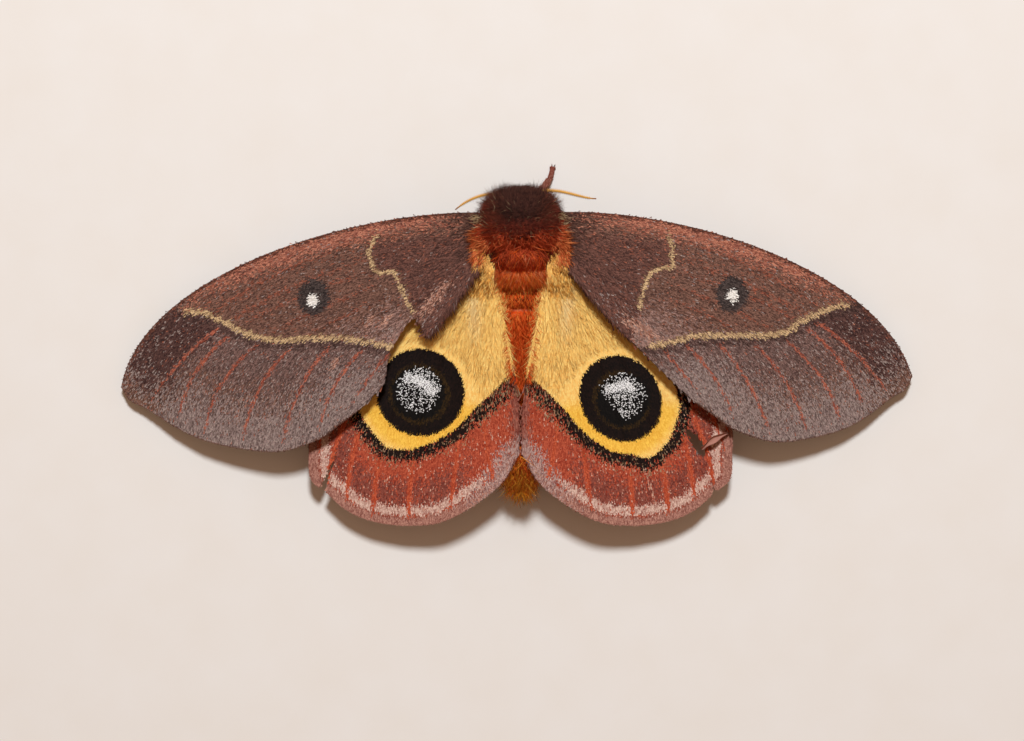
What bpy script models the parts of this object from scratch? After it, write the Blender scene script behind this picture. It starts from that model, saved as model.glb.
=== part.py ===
"""A female Automeris granulosa moth, life size, resting flat with all four wings spread.

The moth is seen from above with its head towards +Y, its right side towards +X and its feet on
the floor. Every size is in millimetres until the last step, which turns the model to metres.
"""
import math
import random

import bmesh
import bpy
from mathutils import Matrix, Vector

MM = 0.001
GAP = 0.3

WING_THICKNESS = 0.55
VEIN_HEIGHT = 0.28
VEIN_SPREAD = 0.17
WING_ROWS = 10

THORAX_CENTRE = Vector((0.0, 10.7, 6.9))
THORAX_RADII = Vector((5.6, 5.5, 5.2))
HEAD_CENTRE = Vector((0.0, 14.7, 4.7))
HEAD_RADII = Vector((2.5, 2.1, 2.2))
EYE_RADIUS = 1.3
EYE_PLACE = Vector((2.15, 15.15, 4.8))
ABDOMEN_FRONT = 6.2
ABDOMEN_TAIL = -28.0
ABDOMEN_RADIUS = 4.5
LEG_RADIUS = 0.52
ANTENNA_RADIUS = 0.3
PALP_RADIUS = 0.45
PALP_ROOT = Vector((0.75, 16.2, 3.9))

LOCK_WIDTH = 1.15
LOCK_THICKNESS = 0.42

DARK_FUR = (0.045, 0.014, 0.012)
ORANGE_FUR = (0.42, 0.075, 0.015)
FOREWING_BROWN = (0.13, 0.065, 0.058)
HINDWING_RED = (0.42, 0.09, 0.045)
EYE_BROWN = (0.02, 0.012, 0.01)
ANTENNA_GOLD = (0.62, 0.28, 0.05)
LEG_RED = (0.2, 0.07, 0.055)

# Each vein of a right wing is a curve from the wing root to the margin. It is given by the handle
# that it leaves the root towards, the handle that it reaches the margin from, and its end there.
FOREWING_ROOT = (Vector((3.9, 12.8)), Vector((3.9, 9.2)))
FOREWING_VEINS = (
    ((20.5, 14.5), (54.1, 5.9), (59.4, -11.4)),
    ((25.1, 11.1), (45.4, 2.9), (58.3, -13.4)),
    ((22.4, 6.1), (45.4, 2.2), (56.0, -14.7)),
    ((20.5, 2.3), (46.5, 3.4), (52.2, -17.5)),
    ((19.1, -0.2), (43.5, 1.2), (48.5, -19.4)),
    ((22.1, -4.6), (36.8, 1.5), (43.4, -20.7)),
    ((21.0, -6.5), (29.7, 2.3), (37.9, -21.2)),
    ((15.2, -2.1), (28.2, -4.1), (32.5, -19.6)),
    ((13.5, 0.0), (22.6, -7.5), (29.0, -17.4)),
    ((10.6, -1.1), (18.4, -8.2), (26.1, -15.4)),
)
HINDWING_ROOT = (Vector((3.7, 7.7)), Vector((3.9, 5.7)))
HINDWING_VEINS = (
    ((18.1, 4.0), (29.9, -7.1), (32.0, -20.6)),
    ((18.0, 2.5), (29.2, -9.3), (31.9, -22.9)),
    ((18.4, 0.3), (29.3, -12.4), (31.6, -27.2)),
    ((17.6, -1.8), (27.1, -14.3), (29.3, -29.3)),
    ((15.6, -3.7), (26.2, -16.5), (26.1, -32.0)),
    ((13.8, -5.5), (21.9, -18.6), (22.2, -33.6)),
    ((10.7, -6.7), (17.2, -19.8), (16.7, -34.2)),
    ((7.5, -6.9), (9.0, -20.2), (10.7, -33.2)),
    ((3.1, -5.7), (7.8, -17.3), (3.6, -28.5)),
    ((2.9, -4.1), (-0.6, -13.7), (0.3, -23.7)),
)


def clear_scene():
    """Start from an empty scene."""
    for thing in list(bpy.data.objects):
        bpy.data.objects.remove(thing, do_unlink=True)


def smooth_step(low, high, value):
    """Rise smoothly from 0 at low to 1 at high."""
    part = min(max((value - low) / (high - low), 0.0), 1.0)
    return part * part * (3.0 - 2.0 * part)


def forewing_height(x, y):
    """Middle of the forewing's thickness: it slopes down to the tip and is highest behind."""
    camber = 0.0009 * (abs(x) - 32.0) ** 2
    return 10.5 - 0.155 * (abs(x) - 6.0) - 0.03 * (y + 5.0) - camber


def hindwing_height(x, y):
    """Middle of the hindwing's thickness: it drapes off the abdomen and flattens outwards."""
    drape = 7.4 * math.exp(-(abs(x) - 1.0) / 17.0)
    sag = 1.5 * smooth_step(8.0, 23.0, -y) * math.exp(-(x / 8.0) ** 2)
    return 3.2 + drape - 0.14 * max(y, 0.0) - sag


def right_as_drawn(point):
    """The right forewing keeps the veins as they are drawn."""
    return point


def left_swept_back(point):
    """The left forewing lies a little further back, which narrows it towards the body."""
    x, y = point
    return Vector((1.079 * x + 0.145 * y - 1.88, -0.02 * x + 1.02 * y - 0.25))


def bezier(start, leave, reach, end, t):
    """Point at t on a cubic curve."""
    s = 1.0 - t
    return s ** 3 * start + 3 * s * s * t * leave + 3 * s * t * t * reach + t ** 3 * end


def vein_point(veins, root, pose, index, t):
    """Point at t on one vein; an index past either edge of the wing is carried on straight."""
    last = len(veins) - 1
    if index < 0 or index > last:
        edge = 0 if index < 0 else last
        inner = 1 if index < 0 else last - 1
        return 2 * vein_point(veins, root, pose, edge, t) - vein_point(veins, root, pose, inner, t)
    leave, reach, end = (Vector(point) for point in veins[index])
    start = root[0].lerp(root[1], index / last)
    return bezier(start, pose(leave), pose(reach), pose(end), t)


def wing_point(veins, root, pose, across, t):
    """Point of the wing's plan: across counts veins from the front edge, t runs root to margin."""
    index = min(max(math.floor(across), 0), len(veins) - 2)
    part = across - index
    before, here, there, after = (
        vein_point(veins, root, pose, index + step, t) for step in (-1, 0, 1, 2))
    slope_here = (there - before) / 2
    slope_there = (after - here) / 2
    cubic = part ** 3
    square = part ** 2
    return ((2 * cubic - 3 * square + 1) * here + (cubic - 2 * square + part) * slope_here
            + (3 * square - 2 * cubic) * there + (cubic - square) * slope_there)


def wing_columns(count):
    """Columns across a wing with their share of the vein's ridge: foot, crest, foot."""
    columns = [(0.0, 0.6), (VEIN_SPREAD, 0.0)]
    for vein in range(1, count - 1):
        columns += [(vein - VEIN_SPREAD, 0.0), (vein, 1.0), (vein + VEIN_SPREAD, 0.0)]
    columns += [(count - 1 - VEIN_SPREAD, 0.0), (count - 1, 0.3)]
    return columns


def wing_sheet(veins, root, pose, height, side, columns, stations, grow=0.0):
    """One wing, or with grow a plainer one that is larger all round, for cutting its slot."""
    body = bmesh.new()
    bmesh.ops.create_grid(body, x_segments=len(columns) - 1, y_segments=len(stations) - 1, size=1.0)
    bmesh.ops.triangulate(body, faces=body.faces[:])
    lid = bmesh.ops.extrude_face_region(body, geom=body.faces[:])["geom"]
    for vertex in lid:
        if isinstance(vertex, bmesh.types.BMVert):
            vertex.co.z = 1.0
    for vertex in body.verts:
        column = round((vertex.co.x + 1.0) / 2.0 * (len(columns) - 1))
        row = round((vertex.co.y + 1.0) / 2.0 * (len(stations) - 1))
        across, ridge = columns[column]
        t = stations[row]
        place = wing_point(veins, root, pose, across, t)
        if grow:
            inward = wing_point(veins, root, pose, (len(veins) - 1) / 2, t)
            if column in (0, len(columns) - 1):
                place = place + (place - inward).normalized() * grow
            if row == 0:
                place.x -= grow
        rise = WING_THICKNESS / 2 + grow
        if vertex.co.z > 0.5:
            rise += ridge * VEIN_HEIGHT * smooth_step(0.04, 0.2, t) * (1.0 - 0.5 * t)
        else:
            rise = -rise
        vertex.co = Vector((side * place.x, place.y, height(place.x, place.y) + rise))
    bmesh.ops.recalc_face_normals(body, faces=body.faces[:])
    return body


def wing(veins, root, pose, height, side):
    """A wing at full size, its veins standing up as ridges out of the membrane."""
    stations = [row / WING_ROWS for row in range(WING_ROWS + 1)]
    return wing_sheet(veins, root, pose, height, side, wing_columns(len(veins)), stations)


def wing_cutter(veins, root, pose, height, side):
    """The space that a wing's inner part needs, with the gap all round it."""
    last = len(veins) - 1
    columns = [(last * part / 4, 0.0) for part in range(5)]
    stations = [0.0, 0.06, 0.14, 0.24, 0.36]
    return wing_sheet(veins, root, pose, height, side, columns, stations, GAP)


def ellipsoid(centre, radii, around=24, along=14):
    """A closed egg-shaped body."""
    body = bmesh.new()
    bmesh.ops.create_uvsphere(body, u_segments=around, v_segments=along, radius=1.0)
    for vertex in body.verts:
        vertex.co = centre + Vector((vertex.co.x * radii.x, vertex.co.y * radii.y, vertex.co.z * radii.z))
    return body


def loft(rings, tip=None):
    """Close a body over a row of rings, each extruded from the last, with an optional point."""
    body = bmesh.new()
    cap = body.faces.new([body.verts.new(point) for point in rings[0]])
    last_ring = rings[0]
    for ring in rings[1:] + ([[tip] * len(last_ring)] if tip is not None else []):
        grown = bmesh.ops.extrude_face_region(body, geom=[cap, *cap.edges])["geom"]
        cap = next(part for part in grown if isinstance(part, bmesh.types.BMFace))
        for vertex in cap.verts:
            nearest = min(range(len(last_ring)), key=lambda i: (vertex.co - last_ring[i]).length)
            vertex.co = ring[nearest]
        last_ring = ring
    if tip is not None:
        bmesh.ops.remove_doubles(body, verts=body.verts[:], dist=0.001)
    bmesh.ops.recalc_face_normals(body, faces=body.faces[:])
    return body


def tube_rings(path, widths, heights, up, sides):
    """Rings of a bent tube, each square to the path; up turns the flat way of its section."""
    rings = []
    ups = up if isinstance(up, list) else [up] * len(path)
    for index, centre in enumerate(path):
        ahead = path[min(index + 1, len(path) - 1)]
        behind = path[max(index - 1, 0)]
        along = (ahead - behind).normalized()
        across = along.cross(ups[index]).normalized()
        upward = across.cross(along).normalized()
        ring = []
        for corner in range(sides):
            angle = math.tau * corner / sides
            ring.append(centre + across * widths[index] * math.cos(angle)
                        + upward * heights[index] * math.sin(angle))
        rings.append(ring)
    return rings


def lock(stops, width, thickness):
    """A flat lock of hair through places on the body, each with its own outward direction."""
    places = [place for place, _ in stops]
    outward = [direction for _, direction in stops]
    widths = [width * share for share in (0.75, 1.0, 0.9, 0.55)]
    heights = [thickness * share for share in (0.9, 1.0, 0.85, 0.62)]
    return loft(tube_rings(places[:4], widths, heights, outward, 4), places[4])


LOCK_STOPS = ((0.0, -0.6), (0.3, 0.12), (0.62, 0.5), (0.85, 0.8), (1.0, 1.0))


def egg_lock(centre, radii, start, lie, length, width, lift, clear=None):
    """A lock on an egg-shaped body, rooted under its skin and bent along the lie of the coat."""
    stops = []
    for part, rise in LOCK_STOPS:
        arm = start + lie * length * part - centre
        reach = Vector((arm.x / radii.x, arm.y / radii.y, arm.z / radii.z))
        outward = Vector((reach.x / radii.x, reach.y / radii.y, reach.z / radii.z)).normalized()
        height = rise * lift if rise > 0 else rise
        place = centre + arm / reach.length + outward * height
        stops.append((clear(place) if clear else place, outward))
    return lock(stops, width, LOCK_THICKNESS)


def around_pole(centre, radii, pole, tilt, turn):
    """Place on an egg at a tilt from its pole and a turn round it, and the way the coat lies there."""
    aside = pole.orthogonal().normalized()
    forward = pole.cross(aside)
    level = aside * math.cos(turn) + forward * math.sin(turn)
    unit = pole * math.cos(tilt) + level * math.sin(tilt)
    lie = level * math.cos(tilt) - pole * math.sin(tilt)
    place = centre + Vector((unit.x * radii.x, unit.y * radii.y, unit.z * radii.z))
    return place, Vector((lie.x * radii.x, lie.y * radii.y, lie.z * radii.z)).normalized()


def add_object(name, body, colour, roughness=0.85):
    """Turn a finished body into a named object with its own material."""
    mesh = bpy.data.meshes.new(name)
    body.to_mesh(mesh)
    body.free()
    thing = bpy.data.objects.new(name, mesh)
    bpy.context.scene.collection.objects.link(thing)
    material = bpy.data.materials.new(name)
    material.use_nodes = True
    shader = material.node_tree.nodes["Principled BSDF"]
    shader.inputs["Base Color"].default_value = (*colour, 1.0)
    shader.inputs["Roughness"].default_value = roughness
    mesh.materials.append(material)
    return thing


def keep_largest(thing):
    """Keep only the closed surface with the most room inside it."""
    body = bmesh.new()
    body.from_mesh(thing.data)
    waiting = set(body.faces)
    shells = []
    while waiting:
        shell = {waiting.pop()}
        edge_of_search = list(shell)
        while edge_of_search:
            face = edge_of_search.pop()
            for edge in face.edges:
                for neighbour in edge.link_faces:
                    if neighbour in waiting:
                        waiting.discard(neighbour)
                        shell.add(neighbour)
                        edge_of_search.append(neighbour)
        shells.append(shell)

    def room(shell):
        total = 0.0
        for face in shell:
            corners = [vertex.co for vertex in face.verts]
            for first, second in zip(corners[1:], corners[2:]):
                total += corners[0].dot(first.cross(second)) / 6.0
        return abs(total)

    largest = max(shells, key=room)
    spare = [face for face in body.faces if face not in largest]
    bmesh.ops.delete(body, geom=spare, context="FACES")
    body.to_mesh(thing.data)
    body.free()


def combine(thing, bodies, operation):
    """Fuse closed bodies into a node, or cut them out of it, in one Boolean."""
    group = bpy.data.collections.new("group")
    bpy.context.scene.collection.children.link(group)
    for index, body in enumerate(bodies):
        mesh = bpy.data.meshes.new(f"group_{index}")
        body.to_mesh(mesh)
        body.free()
        piece = bpy.data.objects.new(f"group_{index}", mesh)
        piece.hide_render = True
        piece.display_type = "WIRE"
        group.objects.link(piece)
    boolean = thing.modifiers.new("combine", "BOOLEAN")
    boolean.operation = operation
    boolean.operand_type = "COLLECTION"
    boolean.collection = group
    boolean.solver = "EXACT"
    seen = thing.evaluated_get(bpy.context.evaluated_depsgraph_get())
    result = bpy.data.meshes.new_from_object(seen)
    thing.modifiers.clear()
    old = thing.data
    thing.data = result
    bpy.data.meshes.remove(old)
    for piece in list(group.objects):
        bpy.data.objects.remove(piece, do_unlink=True)
    bpy.data.collections.remove(group)
    keep_largest(thing)


def abdomen_radius(y):
    """Outer radius of the abdomen at a place along it."""
    along = (ABDOMEN_FRONT - y) / (ABDOMEN_FRONT - ABDOMEN_TAIL)
    front = math.sqrt(max(0.0, 1.0 - (1.0 - min(along / 0.16, 1.0)) ** 2))
    back = math.sqrt(max(0.0, 1.0 - max(0.0, (along - 0.5) / 0.5) ** 2.3))
    return ABDOMEN_RADIUS * front * back * (1.0 - 0.1 * smooth_step(0.25, 0.0, along))


def abdomen_middle(y):
    """Height of the abdomen's axis, lowest at the tail."""
    return 5.0 - 0.4 * smooth_step(0.0, 26.0, -y)


def abdomen_body(grow=0.0):
    """The abdomen as a long egg with a shallow groove at each ring."""
    rings_of_body = 8
    rows = 3 * rings_of_body - 3
    rings = []
    front = ABDOMEN_FRONT + grow
    tail = ABDOMEN_TAIL - grow
    for row in range(1, rows):
        part = row / rows
        eased = part - math.sin(math.tau * part) / math.tau * 0.35
        y = ABDOMEN_FRONT + (ABDOMEN_TAIL - ABDOMEN_FRONT) * eased
        groove = 0.16 if row % 3 == 0 and row < rows - 3 else 0.0
        radius = abdomen_radius(y) - groove + grow
        middle = abdomen_middle(y)
        ring = []
        for corner in range(18):
            angle = math.tau * corner / 18
            ring.append(Vector((radius * math.cos(angle), y, middle + radius * math.sin(angle))))
        rings.append(ring)
    rings.insert(0, [Vector((p.x * 0.3, front, 5.0 + (p.z - 5.0) * 0.3)) for p in rings[0]])
    return loft(rings, Vector((0.0, tail, abdomen_middle(tail))))


LEG_PATHS = {
    "front_right": ((2.0, 12.2, 3.2), (4.2, 14.0, 3.4), (3.0, 16.4, 1.6), (4.6, 18.8, 0.62), (4.95, 20.4, 0.2)),
    "front_left": ((-2.0, 12.2, 3.2), (-4.6, 13.7, 3.6), (-6.5, 12.3, 1.7), (-7.8, 12.4, 0.7), (-9.2, 12.9, 0.2)),
    "middle_right": ((3.0, 9.6, 3.0), (8.2, 11.4, 4.6), (11.2, 9.8, 1.2), (12.0, 8.8, 0.6), (13.6, 7.6, 0.2)),
    "middle_left": ((-3.0, 9.6, 3.0), (-8.4, 10.8, 4.6), (-11.4, 9.2, 1.2), (-12.3, 8.4, 0.6), (-13.8, 7.0, 0.2)),
    "hind_right": ((2.8, 7.0, 3.0), (7.6, 3.2, 4.6), (7.8, -6.6, 1.2), (7.9, -8.4, 0.6), (8.5, -12.6, 0.2)),
    "hind_left": ((-2.8, 7.0, 3.0), (-7.8, 2.8, 4.6), (-7.7, -7.2, 1.2), (-7.8, -9.0, 0.6), (-8.2, -13.2, 0.2)),
}


def leg(path):
    """One furry leg: thigh, shin and foot, the foot pressed flat on the floor."""
    hip, knee, ankle, heel, toe = (Vector(point) for point in path)
    thick = LEG_RADIUS
    stops = (
        (hip, 0.9), (hip.lerp(knee, 0.35), 1.2), (hip.lerp(knee, 0.7), 1.1), (knee, 0.85),
        (knee.lerp(ankle, 0.35), 1.05), (knee.lerp(ankle, 0.7), 1.1), (ankle, 1.05),
        (ankle.lerp(heel, 0.5), 1.1), (heel, 0.72), (heel.lerp(toe, 0.3), 0.95),
        (heel.lerp(toe, 0.72), 1.0), (toe, 0.85),
    )
    centres = [centre for centre, _ in stops]
    widths = [thick * share for _, share in stops]
    rings = tube_rings(centres, widths, widths, Vector((0.0, 0.0, 1.0)), 8)
    for ring in rings:
        for point in ring:
            point.z = max(point.z, 0.0)
    return loft(rings)


ANTENNA_PATHS = {
    "right": ((1.35, 15.4, 6.3), (4.2, 18.4, 7.4), (9.0, 15.0, 5.2), (11.4, 15.35, 4.6)),
    "left": ((-1.35, 15.5, 6.3), (-4.6, 16.4, 7.0), (-8.0, 15.2, 5.6), (-11.2, 12.8, 4.8)),
}


def antenna(path, segments=16):
    """A thin feeler of short joints, each with a slight tooth, drawn out to a point."""
    points = [Vector(point) for point in path]
    centres = []
    radii = []
    for joint in range(segments):
        for step, swell in ((0.0, 0.82), (0.55, 1.12)):
            t = (joint + step) / segments
            centres.append(bezier(*points, t))
            radii.append(ANTENNA_RADIUS * swell * (1.0 - 0.45 * t))
    rings = tube_rings(centres, radii, radii, Vector((0.0, 0.0, 1.0)), 6)
    return loft(rings, points[-1])


def palp(side):
    """One short furry mouth feeler, bent down in front of the face."""
    path = (PALP_ROOT, PALP_ROOT + Vector((0.1, 0.6, -0.6)), PALP_ROOT + Vector((0.1, 0.75, -1.4)))
    centres = [bezier(path[0], path[0].lerp(path[1], 0.8), path[1], path[2], step / 4) for step in range(5)]
    for centre in centres:
        centre.x *= side
    widths = [PALP_RADIUS * share for share in (0.8, 1.05, 1.1, 0.9, 0.5)]
    rings = tube_rings(centres, widths, widths, Vector((1.0, 0.0, 0.0)), 8)
    return loft(rings, centres[-1] + Vector((0.0, 0.02, -0.25)))


def ball(centre, radius, around=16, along=10):
    """A round body."""
    return ellipsoid(centre, Vector((radius, radius, radius)), around, along)


def capsule(start, end, radius):
    """The space that a limb's root needs, as a short tube with its ends beyond the limb."""
    along = (end - start).normalized()
    path = [start - along * radius * 0.9, start, end]
    upright = Vector((0.0, 0.0, 1.0)) if abs(along.z) < 0.9 else Vector((1.0, 0.0, 0.0))
    return loft(tube_rings(path, [radius * 0.7, radius, radius], [radius * 0.7, radius, radius], upright, 10))


def build_wings():
    """All four wings, the forewings lying over the hindwings."""
    poses = {"right": (1, right_as_drawn), "left": (-1, left_swept_back)}
    for side_name, (side, pose) in poses.items():
        body = wing(FOREWING_VEINS, FOREWING_ROOT, pose, forewing_height, side)
        add_object(f"forewing_{side_name}", body, FOREWING_BROWN)
        body = wing(HINDWING_VEINS, HINDWING_ROOT, right_as_drawn, hindwing_height, side)
        add_object(f"hindwing_{side_name}", body, HINDWING_RED)


def wing_slots():
    """Cutters for the four wing roots."""
    slots = []
    for side, pose in ((1, right_as_drawn), (-1, left_swept_back)):
        slots.append(wing_cutter(FOREWING_VEINS, FOREWING_ROOT, pose, forewing_height, side))
        slots.append(wing_cutter(HINDWING_VEINS, HINDWING_ROOT, right_as_drawn, hindwing_height, side))
    return slots


def leg_sockets():
    """Cutters for the six hips, and for the shins, which the coat keeps clear of."""
    sockets = []
    for path in LEG_PATHS.values():
        hip, knee, ankle = (Vector(point) for point in path[:3])
        sockets.append(capsule(hip, knee, LEG_RADIUS * 1.3 + GAP))
        sockets.append(capsule(knee, ankle, LEG_RADIUS * 1.2 + GAP))
    return sockets


def antenna_channels():
    """Cutters along the two feelers, so that the fur stays clear of them."""
    channels = []
    for path in ANTENNA_PATHS.values():
        points = [Vector(point) for point in path]
        centres = [bezier(*points, step / 6) for step in range(7)]
        centres.insert(0, centres[0] - (centres[1] - centres[0]).normalized() * GAP)
        radii = [ANTENNA_RADIUS * 1.15 + GAP] * len(centres)
        channels.append(loft(tube_rings(centres, radii, radii, Vector((0.0, 0.0, 1.0)), 8)))
    return channels


def face_locks():
    """Short locks that hang down the face from between the feelers."""
    chance = random.Random(11)
    pole = Vector((0.0, 0.35, 0.94))
    locks = []
    for tilt, turns in ((24, (-40, 40)), (52, (-44, 0, 44)), (84, (-24, 24))):
        for turn in turns:
            aim = math.radians(turn + chance.uniform(-5, 5))
            front = math.atan2(1.0, 0.0)
            place, lie = around_pole(HEAD_CENTRE, HEAD_RADII, pole, math.radians(tilt), front + aim)
            locks.append(egg_lock(HEAD_CENTRE, HEAD_RADII, place, lie, 2.0, 0.55, 0.45))
    return locks


def build_head():
    """The head, with a cup for each eye and sockets for feelers and palps."""
    head = add_object("head", ellipsoid(HEAD_CENTRE, HEAD_RADII, 18, 10), DARK_FUR)
    combine(head, face_locks(), "UNION")
    cuts = antenna_channels()
    for side in (1, -1):
        place = Vector((side * EYE_PLACE.x, EYE_PLACE.y, EYE_PLACE.z))
        cuts.append(ball(place, EYE_RADIUS + GAP))
        palp_root = Vector((side * PALP_ROOT.x, PALP_ROOT.y, PALP_ROOT.z))
        palp_end = palp_root + Vector((side * 0.1, 0.9, -0.9))
        cuts.append(capsule(palp_root, palp_end, PALP_RADIUS * 1.1 + GAP))
        eye = add_object(f"eye_{'right' if side > 0 else 'left'}", ball(place, EYE_RADIUS), EYE_BROWN, 0.3)
        eye.data.shade_smooth()
        add_object(f"palp_{'right' if side > 0 else 'left'}", palp(side), DARK_FUR)
    combine(head, cuts, "DIFFERENCE")


def over_the_wings(place):
    """Lift a lock's place clear of the forewing that it hangs over."""
    if abs(place.x) < 3.4 or place.y > 14.5:
        return place
    lowest = forewing_height(place.x, place.y) + WING_THICKNESS / 2 + VEIN_HEIGHT + GAP + LOCK_THICKNESS
    return Vector((place.x, place.y, max(place.z, lowest)))


def under_the_wings(place):
    """Lower a lock's place clear of the wings above it."""
    if abs(place.x) < 3.0 or place.y > 14.5:
        return place
    wing_above = hindwing_height if place.y < 8.6 else forewing_height
    highest = wing_above(place.x, place.y) - WING_THICKNESS / 2 - GAP - LOCK_THICKNESS
    return Vector((place.x, place.y, min(place.z, highest)))


def thorax_locks():
    """The coat of the thorax, lying away from a parting high on its front in rows that overlap."""
    chance = random.Random(5)
    pole = Vector((0.0, 0.38, 0.93))
    rows = ((14, 4, 3.8, 0.7), (36, 8, 4.4, 1.1), (60, 11, 4.2, 1.25), (84, 12, 3.8, 1.2), (108, 9, 3.0, 0.9))
    locks = []
    for row, (tilt, count, length, stand) in enumerate(rows):
        for index in range(count):
            turn = math.tau * (index + 0.5 * (row % 2)) / count + chance.uniform(-0.09, 0.09)
            steep = math.radians(tilt + chance.uniform(-3, 3))
            place, lie = around_pole(THORAX_CENTRE, THORAX_RADII, pole, steep, turn)
            beside = abs(place.x) > 2.2 and place.y < 14.0
            if beside and 8.0 < place.z < 9.6:
                continue
            if place.z < 7.4 and (abs(place.x) < 3.4 or place.y < 7.0):
                continue
            clear = over_the_wings if place.z > 9.0 else under_the_wings
            span = length * chance.uniform(0.88, 1.1)
            lift = stand + 0.6 * smooth_step(12.5, 15.5, place.y)
            width = LOCK_WIDTH * chance.uniform(0.85, 1.15)
            locks.append(egg_lock(THORAX_CENTRE, THORAX_RADII, place, lie, span, width, lift, clear))
    return locks


def shoulder_locks():
    """Long locks that spread from each side of the thorax over the wing roots."""
    locks = []
    tips = ((6.9, 13.1), (7.9, 11.2), (8.3, 9.4), (8.3, 7.4), (6.9, 5.9))
    for side in (1, -1):
        for index, (x, y) in enumerate(tips):
            root = Vector((side * 3.6, 12.0 - 1.15 * index, 10.0))
            tip = Vector((side * x, y, 11.0))
            stops = []
            for part, rise in ((0.0, 0.0), (0.3, 0.7), (0.6, 0.85), (0.85, 0.4), (1.0, 0.0)):
                place = root.lerp(tip, part) + Vector((0.0, 0.0, rise))
                stops.append((over_the_wings(place), Vector((0.0, 0.0, 1.0))))
            locks.append(lock(stops, LOCK_WIDTH, LOCK_THICKNESS))
    return locks


def build_thorax():
    """The thorax, hollowed for the head, the wing roots, the hips and the abdomen."""
    thorax = add_object("thorax", ellipsoid(THORAX_CENTRE, THORAX_RADII, 20, 12), DARK_FUR)
    combine(thorax, thorax_locks() + shoulder_locks(), "UNION")
    spare = Vector((GAP, GAP, GAP))
    cuts = wing_slots() + leg_sockets() + antenna_channels()
    cuts.append(ellipsoid(HEAD_CENTRE, HEAD_RADII + spare))
    cuts.append(abdomen_body(GAP))
    for side in (1, -1):
        place = Vector((side * EYE_PLACE.x, EYE_PLACE.y, EYE_PLACE.z))
        cuts.append(ball(place, EYE_RADIUS + GAP))
    combine(thorax, cuts, "DIFFERENCE")


def abdomen_lock(angle, start, length, width, lift):
    """A lock on the abdomen that lies back along it and narrows with it at the tail."""
    stops = []
    for part, rise in LOCK_STOPS:
        y = start - length * part
        height = rise * lift if rise > 0 else rise
        radius = max(abdomen_radius(y) + height, 0.55)
        outward = Vector((math.cos(angle), 0.0, math.sin(angle)))
        stops.append((Vector((0.0, y, abdomen_middle(y))) + outward * radius, outward))
    return lock(stops, width, LOCK_THICKNESS)


def abdomen_locks():
    """The coat of the abdomen: a fringe at each ring, hair on the bare strip and a tail tuft."""
    chance = random.Random(3)
    locks = []
    for row in range(6):
        start = 1.6 - 3.9 * row
        for slope in (34, -4, -42):
            for mirrored in (False, True):
                lean = math.radians(slope + chance.uniform(-5, 5) + (12 if row % 2 else -7))
                angle = math.pi - lean if mirrored else lean
                length = 4.6 * chance.uniform(0.9, 1.1)
                lift = 0.5 if slope < -40 else 0.85
                locks.append(abdomen_lock(angle, start, length, LOCK_WIDTH, lift))
    for row, (start, aside) in enumerate(((4.2, 11), (4.2, -11), (1.2, 0), (-2.2, 5), (-2.2, -9))):
        locks.append(abdomen_lock(math.radians(90 + aside), start, 4.4, LOCK_WIDTH * 0.8, 0.5))
    for turn in range(8):
        angle = math.tau * (turn + 0.5) / 8
        locks.append(abdomen_lock(angle, -23.2, chance.uniform(5.4, 6.4), LOCK_WIDTH, 0.9))
    return locks


def build_abdomen():
    """The abdomen with its coat."""
    abdomen = add_object("abdomen", abdomen_body(), ORANGE_FUR)
    combine(abdomen, abdomen_locks(), "UNION")


def stand_on_origin():
    """Put the origin under the middle of the moth, on the floor, and turn the model to metres."""
    corners = [vertex.co for thing in bpy.data.objects for vertex in thing.data.vertices]
    low = Vector(min(corner[axis] for corner in corners) for axis in range(3))
    high = Vector(max(corner[axis] for corner in corners) for axis in range(3))
    centre = Vector(((low.x + high.x) / 2, (low.y + high.y) / 2, low.z))
    for thing in bpy.data.objects:
        thing.data.transform(Matrix.Scale(MM, 4) @ Matrix.Translation(-centre))


clear_scene()
build_wings()
build_head()
build_thorax()
build_abdomen()
for leg_name, leg_path in LEG_PATHS.items():
    add_object(f"leg_{leg_name}", leg(leg_path), LEG_RED)
for antenna_name, antenna_path in ANTENNA_PATHS.items():
    add_object(f"antenna_{antenna_name}", antenna(antenna_path), ANTENNA_GOLD, 0.6)
stand_on_origin()
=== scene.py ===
"""The looks of a life-size female moth, resting flat with its four wings spread.

Places and sizes are in millimetres, drawn where part.py draws them, with the head towards +Y.
The last step of each piece moves its points into the frame and turns them to metres.
"""

import math

import bmesh
import bpy
import numpy as np
from mathutils import Matrix, Vector


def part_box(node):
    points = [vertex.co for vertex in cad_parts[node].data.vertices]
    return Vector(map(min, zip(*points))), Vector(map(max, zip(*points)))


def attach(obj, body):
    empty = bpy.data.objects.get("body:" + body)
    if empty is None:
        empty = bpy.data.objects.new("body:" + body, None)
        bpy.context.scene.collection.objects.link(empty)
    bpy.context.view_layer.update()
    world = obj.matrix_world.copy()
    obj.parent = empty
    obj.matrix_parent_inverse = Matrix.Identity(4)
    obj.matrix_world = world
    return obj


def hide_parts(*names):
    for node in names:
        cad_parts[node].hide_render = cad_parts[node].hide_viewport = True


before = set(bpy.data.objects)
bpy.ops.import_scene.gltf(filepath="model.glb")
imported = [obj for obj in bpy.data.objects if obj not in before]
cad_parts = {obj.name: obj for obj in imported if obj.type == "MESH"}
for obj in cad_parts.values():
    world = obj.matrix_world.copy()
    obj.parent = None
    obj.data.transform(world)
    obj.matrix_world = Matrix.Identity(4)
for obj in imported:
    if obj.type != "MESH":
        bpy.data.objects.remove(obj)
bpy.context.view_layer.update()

# Set: a sheet of pale warm plaster board under a soft lamp above the moth's head, with a weak
# even fill. The camera looks straight down, as the photograph looks at the wall.
MM = 0.001
RIGHT_EYE = np.array((2.15, 15.15, 4.8))
SHIFT = sum(np.array(corner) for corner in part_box("eye_right")) / 2 / MM - RIGHT_EYE

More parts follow.
